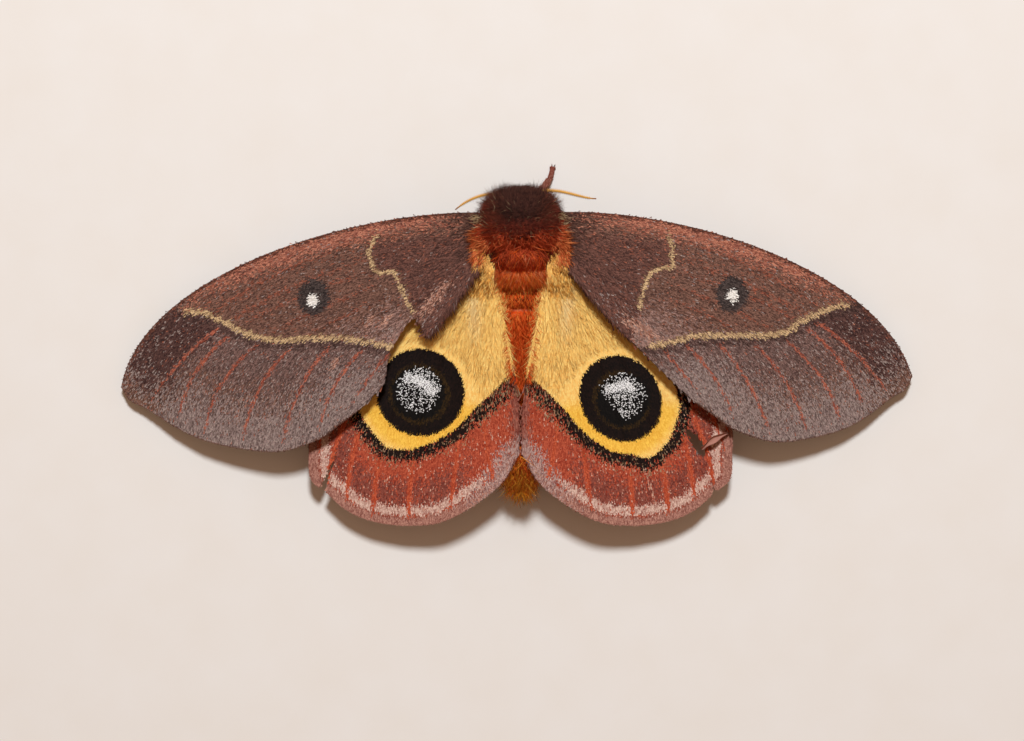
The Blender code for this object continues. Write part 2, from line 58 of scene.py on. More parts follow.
PICTURE_WIDTH = 1024
MM_PER_PIXEL = 0.15
WING_LEVEL = 6.0
CAMERA_HEIGHT = 380.0
CAMERA_OVER = (-0.695, -3.745)
SENSOR_WIDTH = 36.0

camera_data = bpy.data.cameras.new("camera")
camera_data.sensor_width = SENSOR_WIDTH
camera_data.lens = SENSOR_WIDTH * (CAMERA_HEIGHT - WING_LEVEL) / MM_PER_PIXEL / PICTURE_WIDTH
camera_data.clip_start = 0.01
camera = bpy.data.objects.new("camera", camera_data)
camera.location = (CAMERA_OVER[0] * MM, CAMERA_OVER[1] * MM, CAMERA_HEIGHT * MM)
bpy.context.scene.collection.objects.link(camera)
bpy.context.scene.camera = camera
bpy.context.scene.view_settings.view_transform = "Standard"


def linear(colour):
    """An sRGB hex colour as linear red, green and blue with full alpha."""
    shares = [int(colour[place:place + 2], 16) / 255 for place in (1, 3, 5)]
    return (*(share / 12.92 if share <= 0.04045 else ((share + 0.055) / 1.055) ** 2.4
              for share in shares), 1.0)


def plug(node, sockets):
    """Give each socket of a node a value, or link it from another node's output."""
    for place, value in sockets.items():
        if isinstance(value, bpy.types.NodeSocket):
            node.id_data.links.new(value, node.inputs[place])
        else:
            node.inputs[place].default_value = value


def add_node(tree, kind, sockets=None, **settings):
    """A node with its settings and its sockets."""
    node = tree.nodes.new(kind)
    for name, value in settings.items():
        setattr(node, name, value)
    plug(node, sockets or {})
    return node


MIX_FACTOR, MIX_FIRST, MIX_SECOND, MIX_RESULT = 0, 6, 7, 2


def new_material(name):
    """A material with its node tree, the shader at the end of it, and places on a piece."""
    material = bpy.data.materials.new(name)
    material.use_nodes = True
    tree = material.node_tree
    place = add_node(tree, "ShaderNodeTexCoord").outputs["Object"]
    return material, tree, tree.nodes["Principled BSDF"], place


def clouded(tree, place, size, detail, dark, light):
    """Clouds of some millimetres over a piece, and a colour from dark to light that follows them."""
    clouds = add_node(tree, "ShaderNodeTexNoise", {
        "Vector": place, "Scale": 1000 / size, "Detail": detail}).outputs["Fac"]
    colour = add_node(tree, "ShaderNodeMix", {
        MIX_FACTOR: clouds, MIX_FIRST: linear(dark), MIX_SECOND: linear(light)}, data_type="RGBA")
    return clouds, colour.outputs[MIX_RESULT]


# The lamp and the floor are placed in metres.
LAMP_PLACE = Vector((0.02, 0.42, 0.72))
LAMP_WIDTH = 0.14
LAMP_POWER = 6.3
FILL_STRENGTH = 0.31
FLOOR_HALF = 1.2
PLASTER_MOTTLE = 9.0

lamp_data = bpy.data.lights.new("soft_lamp", "AREA")
lamp_data.shape = "DISK"
lamp_data.size = LAMP_WIDTH
lamp_data.energy = LAMP_POWER
lamp_data.color = (0.93, 0.985, 1.0)
lamp = bpy.data.objects.new("soft_lamp", lamp_data)
lamp.location = LAMP_PLACE
lamp.rotation_euler = LAMP_PLACE.to_track_quat("Z", "Y").to_euler()
bpy.context.scene.collection.objects.link(lamp)

world = bpy.data.worlds.new("fill")
world.use_nodes = True
plug(world.node_tree.nodes["Background"], {"Color": linear("#F8C9A4"), "Strength": FILL_STRENGTH})
bpy.context.scene.world = world

# Plaster board: pale, matt, faintly warm in broad patches.
plaster, tree, shader, place = new_material("pale_plaster_board")
_, colour = clouded(tree, place, PLASTER_MOTTLE, 4.0, "#EDEAE9", "#E9E3DE")
plug(shader, {"Base Color": colour, "Roughness": 0.9})

body = bmesh.new()
bmesh.ops.create_grid(body, x_segments=2, y_segments=2, size=FLOOR_HALF)
mesh = bpy.data.meshes.new("floor")
body.to_mesh(mesh)
body.free()
mesh.materials.append(plaster)
floor = bpy.data.objects.new("floor", mesh)
bpy.context.scene.collection.objects.link(floor)


# Wings: a thin dry membrane on stiff branching veins, grown in one sheet from the thorax. Each
# is drawn by its veins, as in part.py, and stands for that CAD node.
MEMBRANE = 0.24
VEIN_RIDGE = 0.11
VEIN_HALF_WIDTH = 0.22
VEIN_ROOM = 3.5
PLEAT = 0.04
HINDWING_FORWARD = 0.48
SCALE_GAP = 0.01
FLOOR_GAP = 0.02
MARGIN_STOPS = 160
COSTA_STOPS = 90
SPREAD_CELLS = 150
SPREAD_START = 0.015
SPREAD_STEPS = (0.7548776662466927, 0.5698402909980532)

FOREWING_ROOT = ((3.9, 12.8), (3.9, 9.2))
FOREWING_VEINS = (
    ((20.5, 14.5), (54.1, 5.9), (59.4, -11.4)),
    ((25.1, 11.1), (45.4, 2.9), (58.3, -13.4)),
    ((22.4, 6.1), (45.4, 2.2), (56.0, -14.7)),
    ((20.5, 2.3), (46.5, 3.4), (52.2, -17.5)),
    ((19.1, -0.2), (43.5, 1.2), (48.5, -19.4)),
    ((22.1, -4.6), (36.8, 1.5), (43.4, -20.7)),
    ((21.0, -6.5), (29.7, 2.3), (37.9, -21.2)),
    ((15.2, -2.1), (28.2, -4.1), (32.5, -19.6)),
    ((13.5, 0.0), (22.6, -7.5), (29.0, -17.4)),
    ((10.6, -1.1), (18.4, -8.2), (26.1, -15.4)),
)
HINDWING_ROOT = ((3.7, 7.7), (3.9, 5.7))
HINDWING_VEINS = (
    ((18.1, 4.0), (29.9, -7.1), (32.0, -20.6)),
    ((18.0, 2.5), (29.2, -9.3), (31.9, -22.9)),
    ((18.4, 0.3), (29.3, -12.4), (31.6, -27.2)),
    ((17.6, -1.8), (27.1, -14.3), (29.3, -29.3)),
    ((15.6, -3.7), (26.2, -16.5), (26.1, -32.0)),
    ((13.8, -5.5), (21.9, -18.6), (22.2, -33.6)),
    ((10.7, -6.7), (17.2, -19.8), (16.7, -34.2)),
    ((7.5, -6.9), (9.0, -20.2), (10.7, -33.2)),
    ((3.1, -5.7), (7.8, -17.3), (3.6, -28.5)),
    ((2.9, -4.1), (-0.6, -13.7), (0.3, -23.7)),
)


def rise(low, high, value):
    """Rise smoothly from 0 at low to 1 at high."""
    part = np.clip((value - low) / (high - low), 0.0, 1.0)
    return part * part * (3.0 - 2.0 * part)


def bump_at(value, middle, half):
    """1 at middle, fading away over half on either side."""
    return np.exp(-((value - middle) / half) ** 2)


def unit(vectors):
    """The same directions with length 1."""
    return vectors / np.maximum(np.linalg.norm(vectors, axis=-1, keepdims=True), 1e-9)


def forewing_height(x, y):
    """Middle of the forewing's thickness: it slopes down to the tip."""
    return 10.5 - 0.155 * (x - 6.0) - 0.03 * (y + 5.0) - 0.0009 * (x - 32.0) ** 2


def hindwing_height(x, y):
    """Middle of the hindwing's thickness: it lies on the abdomen, drapes off it and flattens out."""
    drape = 7.4 * np.exp(-(np.abs(x) - 1.0) / 17.0) - 0.75 * np.exp(-(x / 4.5) ** 2)
    sag = 1.5 * rise(8.0, 23.0, -y) * np.exp(-(x / 8.0) ** 2)
    return 3.2 + drape - 0.28 * np.log1p(np.exp(y / 2.0)) - sag


def right_as_drawn(point):
    """The right forewing keeps its veins as they are drawn."""
    return point


def hindwing_set_forward(point):
    """A hindwing's outer part lies a little further forward."""
    x, y = point
    return x, y + HINDWING_FORWARD * rise(0.0, 12.0, -y)


def left_swept_back(point):
    """The left forewing lies a little further back."""
    x, y = point
    return 1.079 * x + 0.145 * y - 1.88, -0.02 * x + 1.02 * y - 0.25


def laid_out(first, second, share=0.95, edge=0.02):
    """Places from 0 to 1 both ways, moved in from the border of the sheet that is baked."""
    return np.column_stack((first, second)) * share + edge


class Wing:
    """One wing: a place on it is across, in veins from the front edge, and along, 0 to 1 from the
    root."""

    def __init__(self, name, side, veins, root, pose, height, torn):
        self.name = name
        self.side = side
        self.height = height
        self.torn = torn
        self.last = len(veins) - 1
        rows = []
        for index, (leave, reach, end) in enumerate(veins):
            share = index / self.last
            start = [(1 - share) * first + share * second for first, second in zip(*root)]
            rows.append((start, pose(leave), pose(reach), pose(end)))
        rows = np.array(rows)
        self.controls = np.concatenate((2 * rows[:1] - rows[1:2], rows, 2 * rows[-1:] - rows[-2:-1]))
        edge = np.linspace(0.0, self.last, MARGIN_STOPS)
        self.margin = self.plan(edge, np.ones_like(edge))
        self.costa = self.plan(np.zeros(COSTA_STOPS), np.linspace(0.0, 1.0, COSTA_STOPS))

    def own(self, pair):
        """This wing's own one of a right and a left value."""
        return pair[0] if self.side > 0 else pair[1]

    def unwrap(self, across, along):
        """Places on this wing laid out flat, for baking."""
        return laid_out(across / self.last, along, 0.97, 0.015)

    def plan(self, across, along):
        """Places in plan, with x counted outwards from the body on either side."""
        index = np.clip(np.floor(across).astype(int), 0, self.last - 1)
        part = (across - index)[:, None]
        t = along[:, None]
        s = 1.0 - t
        weights = np.concatenate((s ** 3, 3 * s * s * t, 3 * s * t * t, t ** 3), axis=1)
        before, here, there, after = (
            np.einsum("ij,ijk->ik", weights, self.controls[index + step]) for step in range(4))
        slope_here = (there - before) / 2
        slope_there = (after - here) / 2
        cubic, square = part ** 3, part ** 2
        return ((2 * cubic - 3 * square + 1) * here + (cubic - 2 * square + part) * slope_here
                + (3 * square - 2 * cubic) * there + (cubic - square) * slope_there)

    def vein_width(self, across, along):
        """How many millimetres one vein's step is at a place."""
        half = 0.05
        step = self.plan(across + half, along) - self.plan(across - half, along)
        return np.linalg.norm(step, axis=1) / (2 * half)

    def surface(self, across, along):
        """Places on the wing's middle, with its veins and pleats."""
        plan = self.plan(across, along)
        room = self.vein_width(across, along)
        aside = np.abs(across - np.round(across)) * room
        fade = rise(0.03, 0.2, along) * (1.0 - 0.5 * along) * np.minimum(room / VEIN_ROOM, 1.0) ** 2
        relief = VEIN_RIDGE * np.exp(-(aside / VEIN_HALF_WIDTH) ** 2)
        relief = (relief + PLEAT * np.cos(math.tau * across)) * fade
        z = self.height(plan[:, 0], plan[:, 1]) + relief
        return np.column_stack((self.side * plan[:, 0], plan[:, 1], z))

    def directions(self, across, along):
        """Unit vectors out along the wing and up from it."""
        step = 0.01
        out = self.surface(across, along + step) - self.surface(across, along - step)
        over = self.surface(across + step, along) - self.surface(across - step, along)
        up = unit(np.cross(over, out)) * self.side
        return unit(out), up

    def spread(self, count, turn):
        """Even places over the wing's area, in an order that fills it without rows."""
        s_edges = np.linspace(0.0, self.last, SPREAD_CELLS + 1)
        t_edges = np.linspace(SPREAD_START, 1.0, SPREAD_CELLS + 1)
        t_grid, s_grid = np.meshgrid(t_edges, s_edges, indexing="ij")
        corner = self.plan(s_grid.ravel(), t_grid.ravel()).reshape(*s_grid.shape, 2)
        wide = corner[:-1, 1:] - corner[:-1, :-1]
        deep = corner[1:, :-1] - corner[:-1, :-1]
        area = np.abs(wide[..., 0] * deep[..., 1] - wide[..., 1] * deep[..., 0]) + 1e-6
        number = np.arange(count)
        u = (turn + number * SPREAD_STEPS[0]) % 1.0
        v = (0.5 + turn + number * SPREAD_STEPS[1]) % 1.0
        down = np.concatenate(((0.0,), np.cumsum(area.sum(axis=1)) / area.sum()))
        along = np.interp(u, down, t_edges)
        row = ((along - t_edges[0]) / (t_edges[1] - t_edges[0])).astype(int)
        row = np.clip(row, 0, SPREAD_CELLS - 1)
        shares = np.cumsum(area, axis=1) / area.sum(axis=1, keepdims=True)
        shares = np.concatenate((np.zeros((SPREAD_CELLS, 1)), shares), axis=1)
        shares += np.arange(SPREAD_CELLS)[:, None]
        return np.interp(row + v, shares.ravel(), np.tile(s_edges, SPREAD_CELLS)), along


def nearest(points, line):
    """Distance from each point to the nearest of a row of places, in plan."""
    best = np.full(len(points), np.inf)
    for place in line:
        best = np.minimum(best, np.hypot(points[:, 0] - place[0], points[:, 1] - place[1]))
    return best


def beside_line(points, line):
    """Distance from each point to a line, above 0 on the left of the way that it runs."""
    best = np.full(len(points), np.inf)
    signed = np.zeros(len(points))
    for start, end in zip(np.array(line)[:-1], np.array(line)[1:]):
        way = end - start
        arm = points - start
        part = np.clip(arm @ way / (way @ way), 0.0, 1.0)
        gap = arm - part[:, None] * way
        distance = np.hypot(gap[:, 0], gap[:, 1])
        left = way[0] * arm[:, 1] - way[1] * arm[:, 0]
        closer = distance < best
        best = np.where(closer, distance, best)
        signed = np.where(closer, np.where(left > 0, distance, -distance), signed)
    return signed


def within(distance, half_width, soft):
    """1 inside a band round 0, fading over soft at its sides."""
    return 1.0 - rise(half_width - soft, half_width + soft, np.abs(distance))


def add_marks(mesh, marks):
    """Keep each marking of a mesh on its points."""
    for mark, values in marks.items():
        attribute = mesh.attributes.new(mark, "FLOAT", "POINT")
        attribute.data.foreach_set("value", np.asarray(values, dtype=np.float32))


def add_piece(name, mesh, material, nodes=()):
    """A finished mesh as a piece that rides with the moth and stands for its nodes."""
    mesh.materials.append(material)
    piece = bpy.data.objects.new(name, mesh)
    bpy.context.scene.collection.objects.link(piece)
    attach(piece, "root")
    if nodes:
        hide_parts(*nodes)


def joined_mesh(name, points, faces, patches, marks, flat):
    """One mesh of many tufts alike: points and patches are grouped by tuft, and marks hold one
    value for each. Nothing goes through the floor."""
    count, corners, _ = points.shape
    faces = (faces[None] + (np.arange(count) * corners)[:, None, None]).reshape(-1)
    mesh = bpy.data.meshes.new(name)
    mesh.vertices.add(count * corners)
    places = points + SHIFT
    places[..., 2] = np.maximum(places[..., 2], FLOOR_GAP)
    mesh.vertices.foreach_set("co", (places * MM).astype(np.float32).ravel())
    mesh.loops.add(len(faces))
    mesh.loops.foreach_set("vertex_index", faces.astype(np.int32))
    mesh.polygons.add(len(faces) // 3)
    mesh.polygons.foreach_set("loop_start", np.arange(0, len(faces), 3, dtype=np.int32))
    mesh.update(calc_edges=True)
    if flat:
        mesh.shade_flat()
    bake = mesh.uv_layers.new(name="OFBake")
    bake.uv.foreach_set("vector", patches.reshape(-1, 2)[faces].astype(np.float32).ravel())
    add_marks(mesh, {mark: np.repeat(values, corners) for mark, values in marks.items()})
    return mesh


PATCH = 0.003
TUFTS = {  # corners round it, each stop along it with its share of the width, where its point is
    "scale": (((-1.0, 0.0), (1.0, 0.0), (0.0, -0.5)), ((1.0, 1.0),), 0.0),
    "down": (((-1.0, 0.0), (1.0, 0.0), (0.0, 0.8)), ((0.0, 1.0),), 1.0),
    "hair": (((-1.0, 0.0), (1.0, 0.0), (0.0, 0.8)), ((0.0, 0.7), (0.45, 1.0)), 1.0),
}


def grow_coat(name, slot, material, roots, lie, up, length, width, stand, curl, marks, unwrap,
              kind="scale", droop=0.5):
    """Closed tufts rooted at places on a skin. A flat scale starts as a point and ends broad, down
    is a short straight spike, and a hair is bent. Each runs along its lie, stands off by a share
    of its length, droops towards its tip and curls sideways."""
    ring, stops, point = TUFTS[kind]
    side = unit(np.cross(lie, up))
    length, width, stand, curl = (
        np.broadcast_to(value, len(roots))[:, None] for value in (length, width, stand, curl))

    def place_at(part):
        way = lie * part + up * stand * (part - droop * part ** 2) + side * curl * part ** 2
        return roots + length * way

    corners = []
    patch = []
    for part, share in stops:
        for across, over in ring:
            corners.append(place_at(part) + side * (across * width * share / 2)
                           + up * (over * width * share / 2))
            patch.append(((across * 0.4 + 0.5) * PATCH, (part * 0.9 + 0.05 * over) * PATCH))
    corners.append(place_at(point))
    patch.append((0.5 * PATCH, point * PATCH))
    faces = [(0, 1, 2)]
    rings = len(stops)
    for level in range(rings):
        for corner in range(3):
            here, there = 3 * level + corner, 3 * level + (corner + 1) % 3
            if level == rings - 1:
                faces.append((here, 3 * rings, there))
            else:
                faces += [(here, here + 3, there), (there, here + 3, there + 3)]
    patches = unwrap[:, None, :] + np.array(patch)[None] - PATCH / 2
    points = np.stack(corners, axis=1)
    mesh = joined_mesh(name, points, np.array(faces), patches, marks, kind == "scale")
    add_piece(name, mesh, material)


def turned(lie, up, angle):
    """Each direction turned about its upward one."""
    angle = np.asarray(angle)[:, None]
    return lie * np.cos(angle) + np.cross(up, lie) * np.sin(angle)


def sheet(columns, rows, gone_at=None):
    """A closed sheet, drawn flat from -1 to 1 both ways and 0 to 1 thick, less what is gone."""
    body = bmesh.new()
    bmesh.ops.create_grid(body, x_segments=columns, y_segments=rows, size=1.0)
    if gone_at:
        flat = np.array([vertex.co[:] for vertex in body.verts])
        gone = gone_at((flat[:, 0] + 1.0) / 2.0, (flat[:, 1] + 1.0) / 2.0)
        lost = [vertex for vertex, away in zip(body.verts, gone) if away]
        bmesh.ops.delete(body, geom=lost, context="VERTS")
    for part in bmesh.ops.extrude_face_region(body, geom=body.faces[:])["geom"]:
        if isinstance(part, bmesh.types.BMVert):
            part.co.z = 1.0
    return body


def to_frame(body):
    """Turn the faces of a body outwards and move it from the drawing's millimetres into the frame."""
    bmesh.ops.recalc_face_normals(body, faces=body.faces[:])
    bmesh.ops.translate(body, verts=body.verts[:], vec=Vector(SHIFT))
    bmesh.ops.scale(body, verts=body.verts[:], vec=(MM, MM, MM))
    return body


def finish_mesh(name, body):
    """A body in the frame as a smooth mesh."""
    mesh = bpy.data.meshes.new(name)
    body.to_mesh(mesh)
    body.free()
    mesh.shade_smooth()
    return mesh


SKIN_COLUMNS = 126
SKIN_ROWS = 84


def membrane(wing, marks_of):
    """A wing's membrane, its veins raised, less the parts that are torn away."""
    body = sheet(SKIN_COLUMNS, SKIN_ROWS,
                 lambda share, along: wing.torn(wing.plan(share * wing.last, along)))
    flat = np.array([vertex.co[:] for vertex in body.verts])
    across = (flat[:, 0] + 1.0) / 2.0 * wing.last
    along = (flat[:, 1] + 1.0) / 2.0
    places = wing.surface(across, along)
    places[:, 2] += (flat[:, 2] - 0.5) * MEMBRANE
    for vertex, point in zip(body.verts, (places + SHIFT) * MM):
        vertex.co = point
    bmesh.ops.recalc_face_normals(body, faces=body.faces[:])
    mesh = finish_mesh(wing.name, body)
    add_marks(mesh, marks_of(wing, wing.plan(across, along), across, along))
    return mesh


MARK_BLUR = 0.1
EDGE_SCALE = 0.12
UNDER_LONGER = 1.8
UNDER_WIDER = 2.0


def scale_coat(wing, slot, material, count, seed, underside, marks_of, look_of):
    """The scales of one face of a wing, overlapping like tiles and lying outwards. They are
    shorter at the margin, and larger and fewer below."""
    chance = np.random.default_rng(seed)
    across, along = wing.spread(count, chance.random())
    place = wing.plan(across, along)
    lie, up = wing.directions(across, along)
    length, width, stand, loose = look_of(wing, place, across, along)
    if underside:
        up = -up
        length, width = length * UNDER_LONGER, width * UNDER_WIDER
    roots = wing.surface(across, along) + up * (MEMBRANE / 2 + SCALE_GAP)
    lie = turned(lie, up, chance.normal(0.0, 1.0, count) * loose)
    inside = np.minimum(nearest(place, wing.margin), 1.5 * nearest(place, wing.costa))
    length = np.minimum(length * chance.uniform(0.75, 1.2, count), EDGE_SCALE + 0.8 * inside)
    jitter = chance.normal(0.0, MARK_BLUR, place.shape)
    marks = marks_of(wing, place + jitter, across, along, chance)
    marks["strand"] = chance.random(count)
    kept = ~wing.torn(place)
    rows = [values[kept] for values in (roots, lie, up, length, width, stand)]
    marks = {mark: values[kept] for mark, values in marks.items()}
    grow_coat(f"{wing.name}_{'underside' if underside else 'scales'}", slot, material, *rows,
              chance.normal(0.0, 0.1, kept.sum()), marks, wing.unwrap(across, along)[kept])


def layered_material(name, ground, layers, grain, ribs, sheen, patchy=0.5):
    """Scales or hair: each layer's colour runs from dark to light from tuft to tuft, and lies over
    the last one where its marking is. Grain and ribs are in millimetres."""
    material, tree, shader, place = new_material(name)
    clouds = add_node(tree, "ShaderNodeTexNoise", {
        "Vector": place, "Scale": 1000 / grain, "Detail": 3.0}).outputs["Fac"]
    strand = add_node(tree, "ShaderNodeAttribute", attribute_name="strand").outputs["Fac"]
    level = add_node(tree, "ShaderNodeMath", {
        0: clouds, 1: patchy, 2: strand}, operation="MULTIPLY_ADD").outputs[0]
    level = add_node(tree, "ShaderNodeMath", {
        0: level, 1: patchy / 2}, operation="SUBTRACT", use_clamp=True).outputs[0]
    colour = None
    for mark, (dark, light) in {None: ground, **layers}.items():
        pair = add_node(tree, "ShaderNodeMix", {
            MIX_FACTOR: level, MIX_FIRST: linear(dark), MIX_SECOND: linear(light)},
            data_type="RGBA").outputs[MIX_RESULT]
        if mark:
            shown = add_node(tree, "ShaderNodeAttribute", attribute_name=mark).outputs["Fac"]
            pair = add_node(tree, "ShaderNodeMix", {
                MIX_FACTOR: shown, MIX_FIRST: colour, MIX_SECOND: pair},
                data_type="RGBA").outputs[MIX_RESULT]
        colour = pair
    ridges = add_node(tree, "ShaderNodeTexNoise", {
        "Vector": place, "Scale": 1000 / ribs, "Detail": 2.0}).outputs["Fac"]
    bump = add_node(tree, "ShaderNodeBump", {
        "Strength": 0.35, "Distance": 0.00004, "Height": ridges}).outputs["Normal"]
    plug(shader, {
        "Base Color": colour, "Normal": bump, "Roughness": 0.7, "Specular IOR Level": 0.1,
        "Sheen Weight": sheen, "Sheen Roughness": 0.4, "Sheen Tint": linear("#E0A890")})
    return material


def ellipse(place, centre, radii, turn=0.0):
    """Distance from the middle of an ellipse, 1 on its edge."""
    arm = place - np.array(centre)
    long = arm[:, 0] * math.cos(turn) + arm[:, 1] * math.sin(turn)
    wide = arm[:, 1] * math.cos(turn) - arm[:, 0] * math.sin(turn)
    return np.hypot(long / radii[0], wide / radii[1])


def by_chance(shade, chance, blended=()):
    """Each marking shown in full or not at all at each place, as often as it is strong there. The
    blended ones keep their strengths, and so do all without chance, as on a bare skin."""
    if chance is not None:
        for name in shade:
            if name not in blended:
                shade[name] = (chance.random(len(shade[name])) < shade[name]).astype(float)
    return shade


# Forewings: brown scales with lilac-grey tips, a brick-red front edge, two tan lines, a white spot
# in a dark patch, and red veins towards the margin. Scales are flat, in overlapping rows. Each
# marking is placed for the right wing and then for the left, counted outwards from the body.
SCALE_LENGTH = 0.66
SCALE_WIDTH = 0.17
SCALE_LIFT = 0.22
SCALES_ABOVE = 38000
SCALES_BELOW = 5000

INNER_LINE = (
    ((21.5, 10.2), (22.1, 8.2), (22.2, 5.0), (20.7, 4.9), (19.2, 4.4), (18.2, 3.0), (17.8, 1.2),
     (17.3, -1.0)),
    ((20.9, 10.0), (22.3, 7.2), (21.7, 5.6), (21.5, 4.5), (20.5, 4.1), (18.6, 4.4), (17.7, 2.9),
     (16.6, 0.2), (15.7, -1.6)),
)
OUTER_LINE = (
    ((50.0, 0.0), (47.0, -0.7), (44.4, -1.7), (41.6, -3.0), (39.6, -4.5), (37.0, -5.0),
     (33.7, -5.1), (29.4, -5.0), (25.5, -5.1), (22.4, -6.0), (19.0, -6.6)),
    ((50.2, -1.3), (47.5, -1.6), (44.6, -2.8), (41.6, -4.5), (38.5, -5.5), (35.0, -5.8),
     (31.0, -5.5), (26.8, -5.4), (23.0, -5.9), (19.0, -6.7)),
)
WHITE_SPOT = ((31.3, 0.8), (30.7, 0.1))
DARK_PATCH = ((31.2, 1.0), (30.5, 0.6))
PINK_PATCH = ((17.6, -4.0), (12.6, 0.2))
PINK_TURN = (-0.6, -0.86)
PINK_TUFTS = (
    (),
    (((21.8, -2.5), (22.5, -3.7)), ((19.0, -2.2), (20.0, -3.5)), ((27.1, -8.6), (28.0, -10.0))),
)


def forewing_marks(wing, place, across, along, chance=None):
    """How strongly each marking of a forewing shows at each place."""
    inner = beside_line(place, wing.own(INNER_LINE))
    outer = beside_line(place, wing.own(OUTER_LINE))
    margin = nearest(place, wing.margin)
    front = nearest(place, wing.costa)
    vein = np.round(across)
    off_vein = np.abs(across - vein) * wing.vein_width(across, along)
    wobble = 0.12 * np.sin(place[:, 0] * 4.1) + 0.1 * np.sin(place[:, 0] * 9.3 + 1.0)
    taper = 0.25 - 0.08 * rise(0.0, 12.0, outer)
    streak = within(off_vein, taper, 0.08) * rise(0.7, 1.8, outer) * rise(1.0, 3.6, margin)
    faint = within(off_vein, 0.28, 0.15) * rise(0.0, -3.0, outer) * rise(0.3, 0.45, along)
    pink = ellipse(place, wing.own(PINK_PATCH), (4.6, 1.1), wing.own(PINK_TURN))
    tufts = sum(within(beside_line(place, line), 0.3, 0.2) for line in wing.own(PINK_TUFTS))
    dark = ellipse(place, wing.own(DARK_PATCH), (2.45, 2.75), 0.2)
    white = ellipse(place, wing.own(WHITE_SPOT), (0.95, 0.8), 1.3)
    fleck = 0.03 + 0.05 * rise(1.0, -1.0, -outer) + 0.2 * rise(9.0, 2.0, margin)
    return by_chance(dict(
        basal=rise(0.8, -0.8, inner) * rise(2.0, 4.0, front),
        beyond=rise(-0.2, 0.6, outer) * rise(14.0, 4.0, outer),
        outer=rise(11.0, 2.5, margin) * rise(1.0, 4.0, outer) * rise(1.4, 3.4, across),
        apex=rise(3.2, 1.2, across) * rise(-1.0, 1.5, outer) * rise(1.0, 4.0, margin),
        lilac=rise(4.5, 8.0, across) * rise(-1.0, 3.0, inner) * rise(0.5, -1.0, outer),
        front_red=0.95 * rise(3.4, 0.9, front) * rise(0.8, 0.5, along) * rise(-0.1, 0.32, along),
        front_edge=rise(0.8, 0.2, front),
        pink=np.maximum(0.7 * rise(1.2, 0.3, pink), tufts),
        red_fleck=0.02 + 0.08 * rise(9.0, 2.0, front) * rise(1.0, -1.0, outer),
        fleck=(fleck + 0.04 * rise(4.0, 8.0, across)) * rise(0.1, 0.35, along),
        faint=0.4 * (faint * (vein >= 1) * (vein <= 5)),
        streak=0.72 * (streak * ((vein >= 2) & (vein <= 8))),
        dark_patch=rise(1.1, 0.86, dark),
        white_spot=rise(1.15, 0.85, white),
        line_shade=within(outer - 0.95, 0.5, 0.35) * 0.6,
        tan=np.maximum(within(inner, 0.27, 0.16) * rise(1.2, 2.6, front),
                       within(outer + wobble, 0.36, 0.18) * rise(0.6, 2.2, front)),
        margin_line=rise(0.6, 0.2, margin),
        root_hair=rise(0.13, 0.03, along),
    ), chance)


def forewing_look(wing, place, across, along):
    """Length, width, lift and looseness of the scales of a forewing."""
    hairy = rise(0.3, 0.05, along) * rise(0.4, 2.0, nearest(place, wing.costa))
    behind = rise(8.2, 9.0, across) * rise(0.62, 0.4, along)
    length = SCALE_LENGTH * (1.0 + 0.6 * np.maximum(hairy, behind))
    width = SCALE_WIDTH * (1.0 - 0.3 * np.maximum(hairy, behind))
    return length, width, SCALE_LIFT + 0.06 * hairy, 0.22 + 0.1 * hairy


# Wing scales: chitin plates with fine ribs and a powdery pigment, laid dry and matt like velvet.
forewing_scales = layered_material("forewing_scales_brown_and_lilac", ("#47302A", "#8E6657"), {
    "basal": ("#412A26", "#7E5449"),
    "beyond": ("#463330", "#8A6A62"),
    "outer": ("#564340", "#A48C86"),
    "apex": ("#301D1C", "#684842"),
    "lilac": ("#5E443E", "#AC877C"),
    "front_red": ("#80443A", "#CC886E"),
    "front_edge": ("#3E241F", "#7C4B3C"),
    "pink": ("#8A5A4A", "#CFA08C"),
    "red_fleck": ("#7A4334", "#AC664F"),
    "fleck": ("#7C6864", "#A8968F"),
    "faint": ("#743C2E", "#AE6650"),
    "streak": ("#843C2E", "#C07058"),
    "dark_patch": ("#261F1E", "#5A4C49"),
    "line_shade": ("#33231F", "#5E4540"),
    "tan": ("#8E7050", "#E4C294"),
    "margin_line": ("#47302A", "#7A5548"),
    "white_spot": ("#DCD4CC", "#FFFCF8"),
    "root_hair": ("#2E1C19", "#664439"),
}, grain=0.5, ribs=0.12, sheen=0.02)

TRIMMED_LEFT = (
    (13.2, -5.0), (14.0, -4.9), (14.3, -4.0), (14.9, -3.0), (15.6, -2.5), (16.4, -2.9),
    (17.9, -5.3), (19.2, -7.4), (19.8, -9.9), (20.1, -12.4), (20.9, -14.2), (23.0, -16.4),
)


def whole(place):
    """No place of this wing is torn away."""
    return np.zeros(len(place), dtype=bool)


def trimmed_left(place):
    """The left forewing's hind edge is worn back behind a tuft of hair."""
    return beside_line(place, TRIMMED_LEFT) < 0.0


def dress_wing(wing, slot, material, marks_of, look_of, seed):
    """A wing's membrane and the scales of its two faces."""
    add_piece(f"{wing.name}_membrane", membrane(wing, marks_of), material, [wing.name])
    for count, underside in ((SCALES_ABOVE, False), (SCALES_BELOW, True)):
        scale_coat(wing, slot, material, count, seed + underside, underside, marks_of, look_of)


forewings = (
    Wing("forewing_right", 1, FOREWING_VEINS, FOREWING_ROOT, right_as_drawn, forewing_height, whole),
    Wing("forewing_left", -1, FOREWING_VEINS, FOREWING_ROOT, left_swept_back, forewing_height,
         trimmed_left),
)
for number, wing in enumerate(forewings):
    dress_wing(wing, "forewing_scales", forewing_scales, forewing_marks, forewing_look,
               100 + 10 * number)


